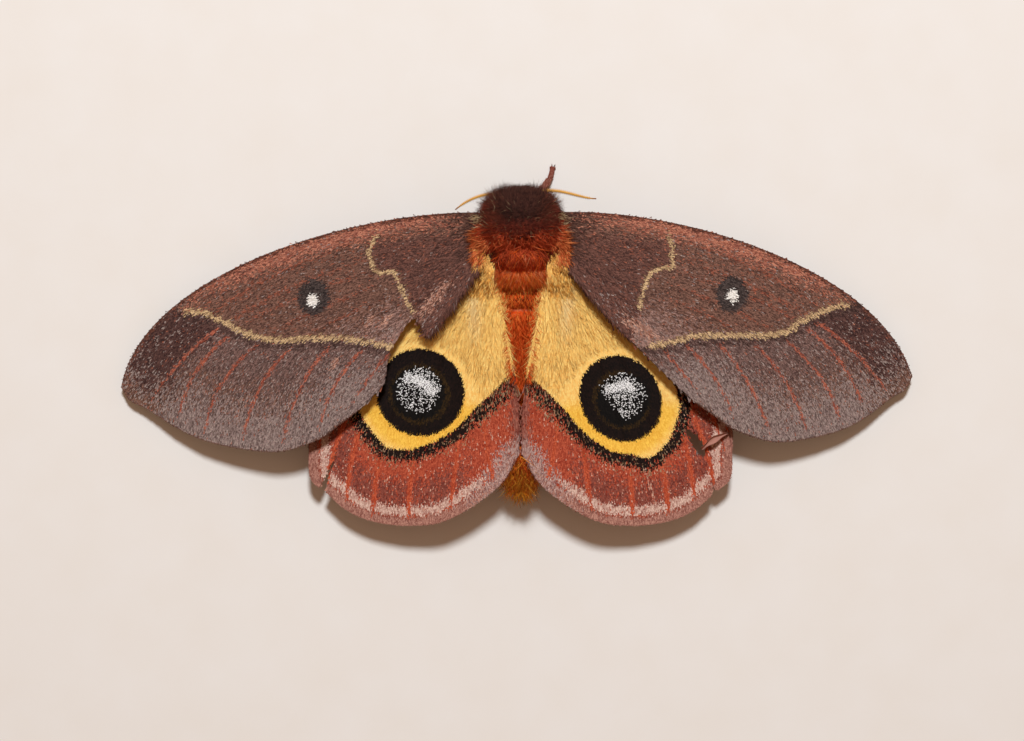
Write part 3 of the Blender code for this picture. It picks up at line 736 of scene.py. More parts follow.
# Hindwings: an eyespot of black, olive and scattered white scales on yellow, then a black line, a
# brick-red band, a pale band and a dusky rose edge. The left one is split by wear, and the right
# one has a ragged hole, a notch and a curled strip.
EYESPOT = ((14.9, -15.0), (14.9, -14.1))
EYESPOT_RADII = ((6.75, 5.9), (6.6, 6.55))
EYESPOT_TURN = (-0.95, 0.0)
YELLOW_EDGE = (
    ((2.1, -12.1), (3.8, -13.6), (5.6, -15.7), (7.2, -17.4), (8.6, -19.2), (10.2, -20.7),
     (13.4, -22.9), (16.7, -23.4), (18.4, -24.0), (19.9, -23.7), (22.3, -21.3), (23.7, -17.4),
     (23.8, -15.6), (22.6, -12.0), (17.0, -4.0)),
    ((2.5, -12.1), (3.8, -13.5), (6.8, -16.5), (9.6, -19.6), (12.7, -21.4), (16.1, -22.6),
     (18.4, -22.7), (20.3, -22.2), (23.1, -18.8), (24.0, -17.0), (24.4, -13.0), (18.0, -4.0)),
)
CRESCENT = (
    ((13.3, -13.8), (14.6, -13.5), (15.6, -13.1), (16.5, -13.6)),
    ((16.8, -12.2), (15.3, -12.4), (14.0, -13.1), (13.3, -14.2)),
)
PUPIL = ((15.2, -14.9), (15.1, -14.0))
PUPIL_CUT = (((11.7, -13.7), (15.0, -17.7)), ((12.2, -14.5), (13.8, -17.7)))
SPLIT_LEFT = ((27.4, -21.4), (28.0, -23.8), (29.4, -27.0), (30.2, -29.8))
HOLE_RIGHT = ((24.8, -18.2), (25.9, -20.2), (27.5, -23.2))
NOTCH_RIGHT = ((28.9, -27.6), (30.0, -31.0))
CRACK_RIGHT = ((17.4, -21.8), (18.6, -25.6), (20.4, -31.0))


def torn_right(place):
    """The ragged hole in the right hindwing and the notch in its edge."""
    x, y = place.T
    ragged = 0.12 * np.sin(6.0 * y) + 0.09 * np.sin(14.0 * y + 5.0 * x)
    hole = np.interp(y, (-23.5, -22.6, -20.4, -18.8, -18.0), (0.1, 0.75, 0.9, 0.6, 0.1)) + ragged
    notch = np.interp(y, (-29.6, -27.6), (0.9, 0.1)) + 0.5 * ragged
    in_hole = np.abs(beside_line(place, HOLE_RIGHT)) < hole
    return in_hole | (np.abs(beside_line(place, NOTCH_RIGHT)) < notch)


def torn_left(place):
    """The split in the left hindwing, opening towards the margin."""
    half_width = np.interp(place[:, 1], (-29.0, -26.0, -21.4), (0.7, 0.3, 0.05))
    return np.abs(beside_line(place, SPLIT_LEFT)) < half_width


def hindwing_places(wing, place):
    """Places as drawn before the wing was set forward, how far out from the eyespot's middle each
    is, 1 on its edge, and how far inside the yellow's edge."""
    place = place - (0.0, HINDWING_FORWARD)
    spot = ellipse(place, wing.own(EYESPOT), wing.own(EYESPOT_RADII), wing.own(EYESPOT_TURN))
    return place, spot, beside_line(place, wing.own(YELLOW_EDGE))


def from_point(place, point):
    """Distance from each place to a point."""
    return np.hypot(*(place - np.array(point)).T)


def hindwing_marks(wing, place, across, along, chance=None):
    """How strongly each marking of a hindwing shows at each place."""
    margin = nearest(place, wing.margin)
    place, spot, edge = hindwing_places(wing, place)
    x, y = place.T
    vein = np.round(across)
    off_vein = np.abs(across - vein) * wing.vein_width(across, along)
    towards_body = rise(9.0, 3.0, x)
    outside = rise(0.0, -0.6, edge)
    crack = 0.7 * within(beside_line(place, CRACK_RIGHT), 0.14, 0.08) if wing.side > 0 else 0.0
    yellow = rise(-0.1, 0.1, edge)
    line = rise(0.15, -0.15, edge) * rise(-2.0 - 0.9 * towards_body, -0.9, edge)
    return by_chance(dict(
        maroon=(0.85 * rise(8.6, 5.6, margin) * rise(2.6, 3.4, margin) * rise(0.25, 0.65, off_vein)
                * rise(6.5, 10.0, x)),
        pale_fleck=0.04 * outside + crack,
        yellow=yellow,
        pale_yellow=bump_at(x, 6.6, 0.9) * rise(-8.0, -1.0, y) * 0.8,
        deep_yellow=(rise(9.6, 7.8, from_point(place, wing.own(EYESPOT))) * yellow
                     * rise(-14.0, -17.0, y)),
        # Darker maroon near the midline behind: painted shade of the fold where the hindwings meet.
        fold_hair=rise(2.2, 0.6, x) * rise(-9.0, -12.0, y),
        pale_band=(within(margin - 2.55, 0.75, 0.6) * rise(4.5, 7.0, x)
                   * (0.7 + 0.3 * rise(0.2, 0.5, off_vein))),
        rose=rise(2.0, 1.6, margin),
        rose_line=within(margin - 1.75, 0.16, 0.1) * 0.6,
        lilac=rise(7.0, 8.3, across) * rise(-14.0, -18.0, y) * rise(4.2, 2.0, margin) * 0.8,
        vein_red=(0.85 * within(off_vein, 0.24, 0.12) * outside * rise(1.0, 2.4, margin)
                  * (vein > 0.5) * (vein < 8.5)),
        black=np.maximum(line * (0.95 - 0.2 * towards_body), rise(1.015, 0.985, spot)),
        olive=rise(0.72, 0.66, spot),
        dark_scales=rise(4.1, 3.8, from_point(place, wing.own(PUPIL))),
        line_fleck=(0.12 + 0.12 * towards_body) * rise(0.1, -0.3, edge) * rise(-3.2, -2.0, edge),
    ), chance, ("yellow", "pale_yellow", "deep_yellow"))


def hindwing_look(wing, place, across, along):
    """Length, width, lift and looseness of the scales and hair of a hindwing."""
    place, spot, edge = hindwing_places(wing, place)
    hairy = rise(-19.0, -10.0, place[:, 1]) * rise(1.0, 1.25, spot)
    hairy = np.maximum(hairy, rise(3.0, 1.0, place[:, 0]))
    by_border = np.maximum(bump_at(spot, 1.0, 0.08), bump_at(edge, 0.0, 0.5))
    length = SCALE_LENGTH * (1.0 + 0.6 * hairy) * (1.0 - 0.4 * by_border)
    width = SCALE_WIDTH * (1.1 - 0.3 * hairy) * (1.0 - 0.25 * by_border)
    return length, width, 0.2 - 0.14 * hairy, 0.14 + 0.02 * hairy


# The same scales in the hindwing's colours, its yellow clear and its black deep.
hindwing_scales = layered_material("hindwing_scales_red_and_yellow", ("#8E3020", "#C45E42"), {
    "maroon": ("#662C24", "#9A5446"),
    "pale_fleck": ("#A86E5C", "#DCB09A"),
    "yellow": ("#F8BE60", "#FFDE8A"),
    "pale_yellow": ("#F8CC84", "#FFE8B0"),
    "deep_yellow": ("#ECAE3C", "#FFD25A"),
    # Painted shade of the fold near the midline.
    "fold_hair": ("#6E2C24", "#B07060"),
    "pale_band": ("#A87468", "#E4C4B4"),
    "rose": ("#824E44", "#C08C7C"),
    "rose_line": ("#7A3A30", "#A65A48"),
    "lilac": ("#7E5A56", "#C8A59C"),
    "vein_red": ("#A03A22", "#D06442"),
    "black": ("#0B0605", "#20120E"),
    "olive": ("#1A1007", "#3A280F"),
    "dark_scales": ("#070404", "#14100E"),
    "line_fleck": ("#5C4430", "#A8886A"),
    "white_scales": ("#E0DEE2", "#FFFFFF"),
}, grain=0.5, ribs=0.12, sheen=0.02)

hindwings = (
    Wing("hindwing_right", 1, HINDWING_VEINS, HINDWING_ROOT, hindwing_set_forward, hindwing_height,
         torn_right),
    Wing("hindwing_left", -1, HINDWING_VEINS, HINDWING_ROOT, hindwing_set_forward, hindwing_height,
         torn_left),
)
for number, wing in enumerate(hindwings):
    dress_wing(wing, "hindwing_scales", hindwing_scales, hindwing_marks, hindwing_look,
               200 + 10 * number)

# Beside the hole a worn strip of the right hindwing has curled up off it.
STRIP_PATH = ((27.2, -22.4), (28.6, -20.9), (31.2, -19.9))
STRIP_HALF = 0.42
STRIP_CURL = 1.9
STRIP_THICK = 0.12
STRIP_GRID = (24, 6)
body = sheet(*STRIP_GRID)
for vertex in body.verts:
    part = (vertex.co.x + 1.0) / 2.0
    ways = np.array(STRIP_PATH)
    middle = (1 - part) ** 2 * ways[0] + 2 * part * (1 - part) * ways[1] + part ** 2 * ways[2]
    way = unit((1 - part) * (ways[1] - ways[0]) + part * (ways[2] - ways[1]))
    curl = vertex.co.y * STRIP_CURL
    arch = math.sin(math.pi * part)
    wide = STRIP_HALF * math.sin(curl) * (1.0 - 0.3 * math.sin(9.0 * part))
    wide *= 0.4 + 0.6 * arch ** 0.5
    x, y = middle + wide * np.array((-way[1], way[0]))
    lift = 0.35 + 0.7 * arch + STRIP_HALF * (1.0 - math.cos(curl)) + STRIP_THICK * vertex.co.z
    vertex.co = (x, y, float(hindwing_height(x, y)) + lift)
mesh = finish_mesh("worn_strip", to_frame(body))
add_marks(mesh, {"rose": np.ones(len(mesh.vertices)), "strand": np.full(len(mesh.vertices), 0.7)})
add_piece("hindwing_right_worn_strip", mesh, hindwing_scales)

# Pupils: tiny white scales strewn over the black ones, close together in a crescent.
PUPIL_PLACES = 80000
for number, wing in enumerate(hindwings):
    chance = np.random.default_rng(240 + number)
    across, along = wing.spread(PUPIL_PLACES, chance.random())
    place = wing.plan(across, along) - (0.0, HINDWING_FORWARD)
    crescent = np.abs(beside_line(place, wing.own(CRESCENT)))
    strewn = 0.16 + 0.12 * bump_at(crescent, 0.0, 1.8)
    strewn *= rise(3.8, 3.0, from_point(place, wing.own(PUPIL)))
    strewn *= rise(-0.5, 0.4, beside_line(place, wing.own(PUPIL_CUT)))
    shown = chance.random(PUPIL_PLACES) < np.maximum(strewn, rise(0.8, 0.45, crescent))
    across, along = across[shown], along[shown]
    count = len(across)
    lie, up = wing.directions(across, along)
    above = MEMBRANE / 2 + chance.uniform(0.12, 0.2, (count, 1))
    lie = turned(lie, up, chance.uniform(-math.pi, math.pi, count))
    length = chance.uniform(0.15, 0.22, count)
    marks = {"white_scales": np.ones(count), "strand": chance.random(count)}
    grow_coat(f"{wing.name}_pupil_scales", "hindwing_scales", hindwing_scales,
              wing.surface(across, along) + up * above, lie, up, length, 0.16, 0.1, 0.0, marks,
              wing.unwrap(across, along))


# Body: head, thorax and abdomen are one soft skin over a hard case, waisted between them and
# ringed behind. It is joined from eggs and remeshed, so that no seam shows.
THORAX_CENTRE = (0.0, 10.7, 6.75)
THORAX_RADII = (5.3, 5.3, 4.9)
HEAD_CENTRE = (0.0, 14.7, 4.7)
HEAD_RADII = (2.35, 2.0, 2.1)
ABDOMEN_FRONT = 6.2
ABDOMEN_TAIL = -27.6
ABDOMEN_RADIUS = 4.25
RING_LENGTH = 3.9
RING_DEPTH = 0.04
VOXEL = 0.3
BODY_AXIS = 5.0
BODY_LENGTH = 46.0
SMOOTH_PASSES = 4


def abdomen_radius(y):
    """Radius of the abdomen at a place along it, drawn in a little between its rings."""
    along = (ABDOMEN_FRONT - y) / (ABDOMEN_FRONT - ABDOMEN_TAIL)
    front = np.sqrt(np.clip(1.0 - (1.0 - np.minimum(along / 0.08, 1.0)) ** 2, 0.0, 1.0))
    back = np.sqrt(np.clip(1.0 - np.maximum(0.0, (along - 0.5) / 0.5) ** 2.3, 0.0, 1.0))
    groove = RING_DEPTH * np.cos(math.pi * (y - 0.9) / RING_LENGTH) ** 16
    radius = ABDOMEN_RADIUS * front * back * (1.0 - 0.1 * rise(0.25, 0.0, along))
    return np.maximum(radius - groove * front * back, 0.02)


def abdomen_middle(y):
    """Height of the abdomen's axis."""
    return BODY_AXIS - 0.4 * rise(0.0, 26.0, -y)


body = bmesh.new()
for centre, radii in ((THORAX_CENTRE, THORAX_RADII), (HEAD_CENTRE, HEAD_RADII)):
    egg = Matrix.Translation(centre) @ Matrix.Diagonal((*radii, 1.0))
    bmesh.ops.create_uvsphere(body, u_segments=48, v_segments=32, radius=1.0, matrix=egg)
for vertex in bmesh.ops.create_uvsphere(body, u_segments=48, v_segments=90, radius=1.0)["verts"]:
    x, z, part = vertex.co
    around = max(math.hypot(x, z), 1e-6)
    share = math.acos(min(max(-part, -1.0), 1.0)) / math.pi
    y = ABDOMEN_TAIL + (ABDOMEN_FRONT - ABDOMEN_TAIL) * share
    radius = float(abdomen_radius(y))
    vertex.co = (radius * x / around, y, float(abdomen_middle(y)) + radius * z / around)
rough = bpy.data.objects.new("body_rough", finish_mesh("body_rough", to_frame(body)))
bpy.context.scene.collection.objects.link(rough)
remesh = rough.modifiers.new("remesh", "REMESH")
remesh.mode = "VOXEL"
remesh.voxel_size = VOXEL * MM
joined = rough.evaluated_get(bpy.context.evaluated_depsgraph_get())
body_mesh = bpy.data.meshes.new_from_object(joined)
bpy.data.objects.remove(rough, do_unlink=True)
body = bmesh.new()
body.from_mesh(body_mesh)
for _ in range(SMOOTH_PASSES):
    bmesh.ops.smooth_vert(body, verts=body.verts[:], factor=0.5,
                          use_axis_x=True, use_axis_y=True, use_axis_z=True)
body.to_mesh(body_mesh)
body.free()
body_mesh.shade_smooth()


def in_threes(items, name, kind):
    """One field of a mesh's items, three numbers to a row."""
    values = np.empty(len(items) * 3, dtype=kind)
    items.foreach_get(name, values)
    return values.reshape(-1, 3)


def mesh_points(mesh):
    """Points of a mesh in the drawing's millimetres, its normals and its triangles."""
    mesh.calc_loop_triangles()
    points = in_threes(mesh.vertices, "co", np.float32) / MM - SHIFT
    normals = in_threes(mesh.vertices, "normal", np.float32)
    return points, normals, in_threes(mesh.loop_triangles, "vertices", np.int32)


def in_order(points, normals, triangles):
    """The same points and triangles in an order that depends on their places alone, since a body
    that is extruded keeps its faces in no fixed order."""
    order = np.lexsort(points.T)
    triangles = np.sort(np.argsort(order)[triangles], axis=1)
    return points[order], normals[order], triangles[np.lexsort(triangles.T)]


def scatter(surface, count, chance, weight):
    """Random places on a surface with their normals, more of them where weight is high."""
    points, normals, triangles = surface
    first, second, third = (points[triangles[:, corner]] for corner in range(3))
    area = np.linalg.norm(np.cross(second - first, third - first), axis=1) / 2
    share = np.cumsum(area * weight((first + second + third) / 3, normals[triangles[:, 0]]))
    pick = np.searchsorted(share, (np.arange(count) + chance.random(count)) / count * share[-1])
    pick = np.minimum(pick, len(triangles) - 1)
    u, v = chance.random((2, count))
    over = u + v > 1.0
    u, v = np.where(over, 1.0 - u, u), np.where(over, 1.0 - v, v)
    weights = np.column_stack((1.0 - u - v, u, v))[:, :, None]
    corners = triangles[pick]
    return (points[corners] * weights).sum(axis=1), unit((normals[corners] * weights).sum(axis=1))


def body_marks(place, chance=None):
    """How strongly each colour of the body's hair shows at each place."""
    x, y, z = np.abs(place[:, 0]), place[:, 1], place[:, 2]
    shade = by_chance(dict(
        front_black=(rise(-0.9, 0.9, y - 14.8 + 4.2 * rise(3.8, 1.4, x))
                     * (0.6 + 0.4 * rise(4.4, 1.8, x))),
        maroon=rise(12.4, 10.8, y),
        brick=rise(10.4, 9.2, y - 0.6 * rise(1.5, 3.5, x)),
        side_orange=rise(11.0, 9.4, y) * rise(3.0, 4.4, x) * rise(6.0, 8.0, z),
        # Darker red in the small hollows behind the shoulders: painted shade.
        hollow=bump_at(y, 7.5, 0.8) * bump_at(x, 3.2, 0.7) * rise(6.0, 7.5, z),
        abdomen_red=rise(8.2, 7.0, y),
        abdomen_orange=rise(8.0, 6.0, y) * rise(-5.0, 3.0, y) * 0.4,
        # The skirt's own orange, painted brighter as light over the thorax's rear slope, which faces
        # away from the lamp.
        skirt_orange=(bump_at(y, 5.7, 1.3) * rise(5.0, 7.0, z)
                      * (0.75 + 0.2 * rise(1.6, 2.8, x))),
        centre_gold=bump_at(y, 2.1, 0.8) * rise(2.4, 0.8, x) * 0.6,
        ring_dark=bump_at(y, 0.8, 0.17) * rise(6.0, 7.5, z) * 0.8,
        ring_pale=within(y + 1.66, 0.09, 0.03) * rise(2.2, 1.5, x) * rise(6.0, 7.5, z) * 0.6,
        tail_brown=rise(-11.0, -19.0, y) * 0.9,
        tail_gold=rise(-21.0, -25.0, y) * 0.75,
        under_brown=rise(4.6, 3.0, z) * rise(14.5, 12.0, y),
    ), chance)
    if chance is not None:
        straw = 0.004 + 0.006 * bump_at(y, 10.2, 1.2)
        straw = straw * rise(14.5, 12.5, y) * rise(4.0, 7.0, y)
        shade["straw"] = (chance.random(len(place)) < straw).astype(float)
    return shade


# Body hair: long soft hair-like scales, matt, with a faint sheen where light grazes them.
body_hair = layered_material("body_hair_brown_to_orange_red", ("#4A241B", "#7E4433"), {
    "front_black": ("#221110", "#623A30"),
    "maroon": ("#501E18", "#9A4634"),
    "brick": ("#A63418", "#E0623A"),
    "side_orange": ("#C25026", "#F8965A"),
    # Painted shade in the hollows behind the shoulders.
    "hollow": ("#4A150B", "#82301A"),
    "abdomen_red": ("#E04C14", "#FF7C36"),
    "abdomen_orange": ("#E86A1E", "#FFA04A"),
    # The skirt's orange, painted brighter as light on the shaded rear slope of the thorax.
    "skirt_orange": ("#F86A30", "#FFA670"),
    "centre_gold": ("#D8842C", "#FFC468"),
    "ring_dark": ("#4A160A", "#8A3014"),
    "ring_pale": ("#B08A70", "#E0CCB4"),
    "tail_brown": ("#AE420E", "#F48030"),
    "tail_gold": ("#F08C1C", "#FFC24C"),
    "under_brown": ("#4A2A20", "#8E6250"),
    "straw": ("#A8845C", "#E2C69A"),
    "root_yellow": ("#D4903E", "#FFCC78"),
    # The sloping yellow hair's own colour, painted brighter as light on the slope.
    "slope_yellow": ("#FFBA54", "#FFDE8C"),
}, grain=0.6, ribs=0.15, sheen=0.03, patchy=1.4)
body_surface = mesh_points(body_mesh)
add_marks(body_mesh, body_marks(body_surface[0]))
add_piece("body_skin", body_mesh, body_hair, ["head", "thorax", "abdomen"])

PARTING = np.array((0.0, 13.4, 12.0))
PARTING_HALF = 2.2
EYE_RADIUS = 1.3
SEGMENT_LINES = (1.0, -1.55)
ROOT_DEPTH = 0.1
EYE_ROOM = 0.05


def laid_flat(lie, normal):
    """Each direction laid flat on its surface."""
    return unit(lie - (lie * normal).sum(axis=1, keepdims=True) * normal)


def body_unwrap(place):
    """Each root's place on the body's skin rolled out, round the middle and from tail to face."""
    around = np.arctan2(place[:, 0], place[:, 2] - BODY_AXIS) / math.tau + 0.5
    return laid_out(around, (place[:, 1] - ABDOMEN_TAIL) / BODY_LENGTH)


def body_lie(place, normal, chance, loose):
    """The way the body's hair lies: away from a parting over the front, tangled near it, and back
    along the abdomen."""
    x, y, _ = place.T
    away = place - PARTING
    away[:, 0] -= np.clip(away[:, 0], -PARTING_HALF, PARTING_HALF)
    near = rise(3.0, 0.5, np.abs(y - PARTING[1]))[:, None]
    away = unit(unit(away) + chance.normal(0.0, 0.35, place.shape) * near)
    outwards = 0.18 * np.sign(x) * rise(0.3, 2.0, np.abs(x))
    back = np.column_stack((outwards, -np.ones(len(place)), np.zeros(len(place))))
    mix = rise(12.0, 6.5, y)[:, None]
    lie = laid_flat(away * (1.0 - mix) + back * mix, normal)
    return turned(lie, normal, chance.normal(0.0, loose, len(place)))


def body_coat(name, slot, seed, count, low, high, length, stand, width, loose, visible,
              kind="down", droop=0.5, uneven=0.25):
    """The hair of one stretch of the body, between two places along it, thicker on top. It is
    short on the face, leaves the eyes clear and ends at the abdomen's first segment lines."""
    chance = np.random.default_rng(seed)

    def weight(place, normal):
        x, y, _ = place.T
        aside = np.abs(x) - 2.6 * rise(5.0, 8.0, y)
        top = visible * rise(0.2, 0.8, normal[:, 2]) * rise(3.6, 2.4, aside)
        return ((y > low) & (y < high)) * (0.3 + top)

    place, normal = scatter(body_surface, count, chance, weight)
    x, y, z = place.T
    lie = body_lie(place, normal, chance, loose)
    blur = chance.normal(0.0, 0.18, place.shape)
    blur[:, 1] *= rise(0.1, 0.9, np.abs(y + 1.6))
    marks = body_marks(place + blur, chance)
    marks["strand"] = chance.random(count)
    if kind == "hair":
        fine = chance.random(count) < 0.07 * rise(8.6, 9.6, y) * rise(14.5, 13.0, y)
        marks["straw"] = np.maximum(marks["straw"], fine)
    aside = np.abs(x)
    reach = 1.0 + 0.6 * rise(2.2, 4.5, aside) * rise(4.5, 7.5, z) * rise(4.0, 7.0, y)
    reach += 0.7 * rise(0.6, 2.2, aside) * rise(12.6, 14.4, y) * rise(3.6, 5.0, z)
    reach -= 0.4 * rise(15.4, 16.4, y) * rise(6.4, 4.8, z)
    span = length * reach * chance.uniform(1.0 - uneven, 1.0 + uneven, count)
    for line in SEGMENT_LINES:
        stops_here = (y - line > -0.2) & (z > 7.0) & (chance.random(count) < 0.9)
        span = np.where(stops_here, np.minimum(span, np.maximum(y - line, 0.3)), span)
    room = 1.0 - 0.6 * rise(8.2, 6.0, z) * rise(3.0, 4.5, aside)
    stand = stand * room * chance.uniform(0.7, 1.2, count)
    tips = place + span[:, None] * (lie + normal * (stand * (1.0 - droop))[:, None])
    eye = RIGHT_EYE * np.column_stack((np.where(x > 0, 1.0, -1.0), np.ones((count, 2))))
    clear = np.minimum(np.linalg.norm(place - eye, axis=1) - ROOT_DEPTH,
                       np.linalg.norm(tips - eye, axis=1))
    kept = clear > EYE_RADIUS + EYE_ROOM
    rows = [values[kept] for values in (place - normal * ROOT_DEPTH, lie, normal, span)]
    marks = {mark: values[kept] for mark, values in marks.items()}
    grow_coat(name, slot, body_hair, *rows, width * (1.0 - 0.4 * marks["straw"]), stand[kept],
              chance.normal(0.0, 0.12, kept.sum()), marks, body_unwrap(place[kept]), kind, droop)


body_coat("thorax_down_front", "dark_fur", 31, 26000, 10.4, 20.0, 0.8, 1.7, 0.11, 1.1, 1.0,
          droop=0.2)
body_coat("thorax_down_back", "dark_fur", 32, 18000, 5.6, 10.6, 1.4, 0.8, 0.12, 0.5, 1.5)
body_coat("thorax_hair", "dark_fur", 35, 4000, 6.2, 17.0, 1.3, 1.3, 0.07, 0.9, 1.5, "hair")
body_coat("abdomen_down", "orange_fur", 33, 24000, -27.6, 6.4, 1.2, 0.35, 0.12, 0.3, 4.0)
body_coat("abdomen_hair", "orange_fur", 36, 5000, -13.0, 5.6, 1.9, 0.6, 0.08, 0.4, 6.0, "hair",
          uneven=0.5)
body_coat("skirt_hair", "orange_fur", 37, 7400, 3.4, 8.2, 2.7, 0.8, 0.09, 0.45, 6.0, "hair",
          0.3, 0.6)
body_coat("tail_hair", "orange_fur", 34, 3200, -27.6, -21.0, 3.9, 0.5, 0.11, 0.36, 0.7, "hair",
          uneven=0.4)


# Shoulders: long loose hair that spreads from each side of the thorax over the wing roots, dark
# brown in front, orange-red behind that, then yellow down to the hindwing, with a few straw hairs.
SHOULDER_LOCKS = (  # front, back, inner, outer, colour, reach, turn to the tail in degrees, hairs
    (14.4, 12.4, 1.6, 3.6, "front_black", 1.4, -35, 400),
    (14.0, 11.4, 2.4, 4.6, "maroon", 2.0, 12, 600),
    (12.2, 9.8, 2.8, 4.9, "maroon", 2.3, 25, 500),
    (11.0, 8.2, 1.2, 4.4, "brick", 2.5, 36, 800),
    (10.9, 9.0, 3.6, 5.2, "brick", 2.6, 14, 500),
    (10.4, 8.2, 4.0, 6.3, "side_orange", 2.6, 34, 600),
    (8.6, 5.6, 5.4, 7.0, "side_orange", 1.9, 64, 450),
    # Short dark hair set in the hollow behind the shoulder as painted shade.
    (8.2, 7.0, 4.4, 5.2, "hollow", 1.2, 60, 160),
    (8.0, 4.6, 4.5, 6.9, "root_yellow", 1.9, 74, 400),
    # Yellow hair sloping down to the hindwing, painted brighter than the root's yellow as light where
    # the slope faces away from the lamp.
    (5.6, 0.6, 3.9, 7.4, "slope_yellow", 2.2, 80, 800),
    (12.7, 9.4, 4.9, 6.6, "straw", 1.9, 25, 100),
)
STRAY_DEGREES = {"straw": 40.0, "slope_yellow": 10.0}
STRAY_OTHERS = 22.0
LONG_DROOP = 0.8
SIDES = {"right": 1, "left": -1}
for side_name, side in SIDES.items():
    chance = np.random.default_rng(40 + side)
    parts = []
    for front, back, inner, outer, colour, reach, turn, count in SHOULDER_LOCKS:
        y = chance.uniform(back, front, count)
        x = chance.uniform(inner, outer, count)
        arm = 1.0 - (x / THORAX_RADII[0]) ** 2 - ((y - THORAX_CENTRE[1]) / THORAX_RADII[1]) ** 2
        z = THORAX_CENTRE[2] + THORAX_RADII[2] * np.sqrt(np.clip(arm, 0.02, 1.0))
        stray = STRAY_DEGREES.get(colour, STRAY_OTHERS)
        angle = np.radians(turn + chance.normal(0.0, stray, count))
        slope = -0.12 - 0.18 * rise(50, 76, turn)
        lie = np.column_stack((side * np.cos(angle), -np.sin(angle),
                               chance.normal(slope, stray / 180.0, count)))
        bed = np.maximum(z, forewing_height(x, y) + MEMBRANE)
        if colour == "slope_yellow":
            pile = hindwing_height(x, y) + MEMBRANE + 1.5 * rise(0.0, 5.0, y)
            bed = np.minimum(bed, pile)
        roots = np.column_stack((side * x, y, bed))
        parts.append((roots, unit(lie), np.full(count, reach), np.full(count, colour)))
    roots, lie, reach, colours = (
        np.concatenate([part[index] for part in parts]) for index in range(4))
    count = len(roots)
    marks = {colour: (colours == colour).astype(float) for colour in np.unique(colours)}
    pale = chance.random(count) < 0.05 * rise(9.0, 10.5, roots[:, 1])
    marks["straw"] = np.maximum(marks["straw"], pale)
    marks["strand"] = chance.random(count)
    up = unit(np.column_stack((np.zeros(count), np.zeros(count), np.ones(count))) + 0.1 * lie)
    grow_coat(f"shoulder_hair_{side_name}", "dark_fur", body_hair, roots, lie, up,
              reach * chance.uniform(0.35, 1.15, count), 0.09 - 0.03 * marks["straw"],
              chance.uniform(0.0, 0.5 - 0.35 * marks["slope_yellow"]),
              chance.normal(0.0, 0.2, count), marks, body_unwrap(roots), "hair", LONG_DROOP)


# Wing roots: long fine hair lies over the scales, yellow from the hindwing's root to its eyespot
# and dark along the forewing's hind edge, which it hides.
HAIR_TRIES = 12


def root_hair(wing, slot, material, count, seed, width, marks_of, hair_of):
    """Long hair over the inner part of a wing, thickest where hair_of says."""
    chance = np.random.default_rng(seed)
    across, along = wing.spread(count * HAIR_TRIES, chance.random())
    place = wing.plan(across, along)
    show, length, turn = hair_of(wing, place, across, along)
    kept = np.flatnonzero((chance.random(len(show)) < show) & ~wing.torn(place))[:count]
    across, along, place, length, turn = (
        values[kept] for values in (across, along, place, length, turn))
    count = len(kept)
    lie, up = wing.directions(across, along)
    lie = turned(lie, up, chance.normal(0.0, 0.14, count) - wing.side * turn)
    roots = wing.surface(across, along) + up * MEMBRANE / 2
    jitter = chance.normal(0.0, MARK_BLUR, place.shape)
    marks = marks_of(wing, place + jitter, across, along, chance)
    marks["strand"] = chance.random(count)
    grow_coat(f"{wing.name}_hair", slot, material, roots, lie, up,
              length * chance.uniform(0.6, 1.1, count), width, chance.uniform(0.03, 0.11, count),
              chance.normal(0.0, 0.14, count), marks, wing.unwrap(across, along), "hair", LONG_DROOP)


def forewing_hair(wing, place, across, along):
    """Where a forewing has long hair, how long it is, and how it turns to the hind edge."""
    behind = rise(7.2, 8.8, across) * rise(0.6, 0.5, along)
    root = rise(0.2, 0.06, along) * rise(0.3, 1.6, nearest(place, wing.costa))
    turn = wing.own((0.5, 0.8)) * rise(7.6, 9.0, across)
    return np.maximum(behind, 0.7 * root), 1.3 + 0.7 * root + wing.own((0.4, 0.8)) * behind, turn


def hindwing_hair(wing, place, across, along):
    """Where a hindwing has long hair, how long it is, and how it turns to the body."""
    place, _, edge = hindwing_places(wing, place)
    y = place[:, 1]
    spot = from_point(place, wing.own(EYESPOT)) - wing.own(EYESPOT_RADII)[0]
    show = rise(-17.0, -8.0, y) * rise(0.4, 2.0, spot) * rise(0.2, 1.0, edge)
    crotch = rise(8.0, 8.8, across) * rise(-10.0, -13.0, y)
    length = np.minimum(2.6, 0.9 * np.minimum(spot, edge + 1.0) + 0.3)
    turn = 0.35 * rise(7.6, 8.9, across) * rise(-14.0, -9.0, y)
    return np.maximum(show, crotch), np.maximum(length, 0.9), turn


for number, wing in enumerate(forewings):
    root_hair(wing, "forewing_scales", forewing_scales, 4500, 300 + number, 0.09, forewing_marks,
              forewing_hair)
for number, wing in enumerate(hindwings):
    root_hair(wing, "hindwing_scales", hindwing_scales, 5000, 320 + number, 0.06, hindwing_marks,
              hindwing_hair)

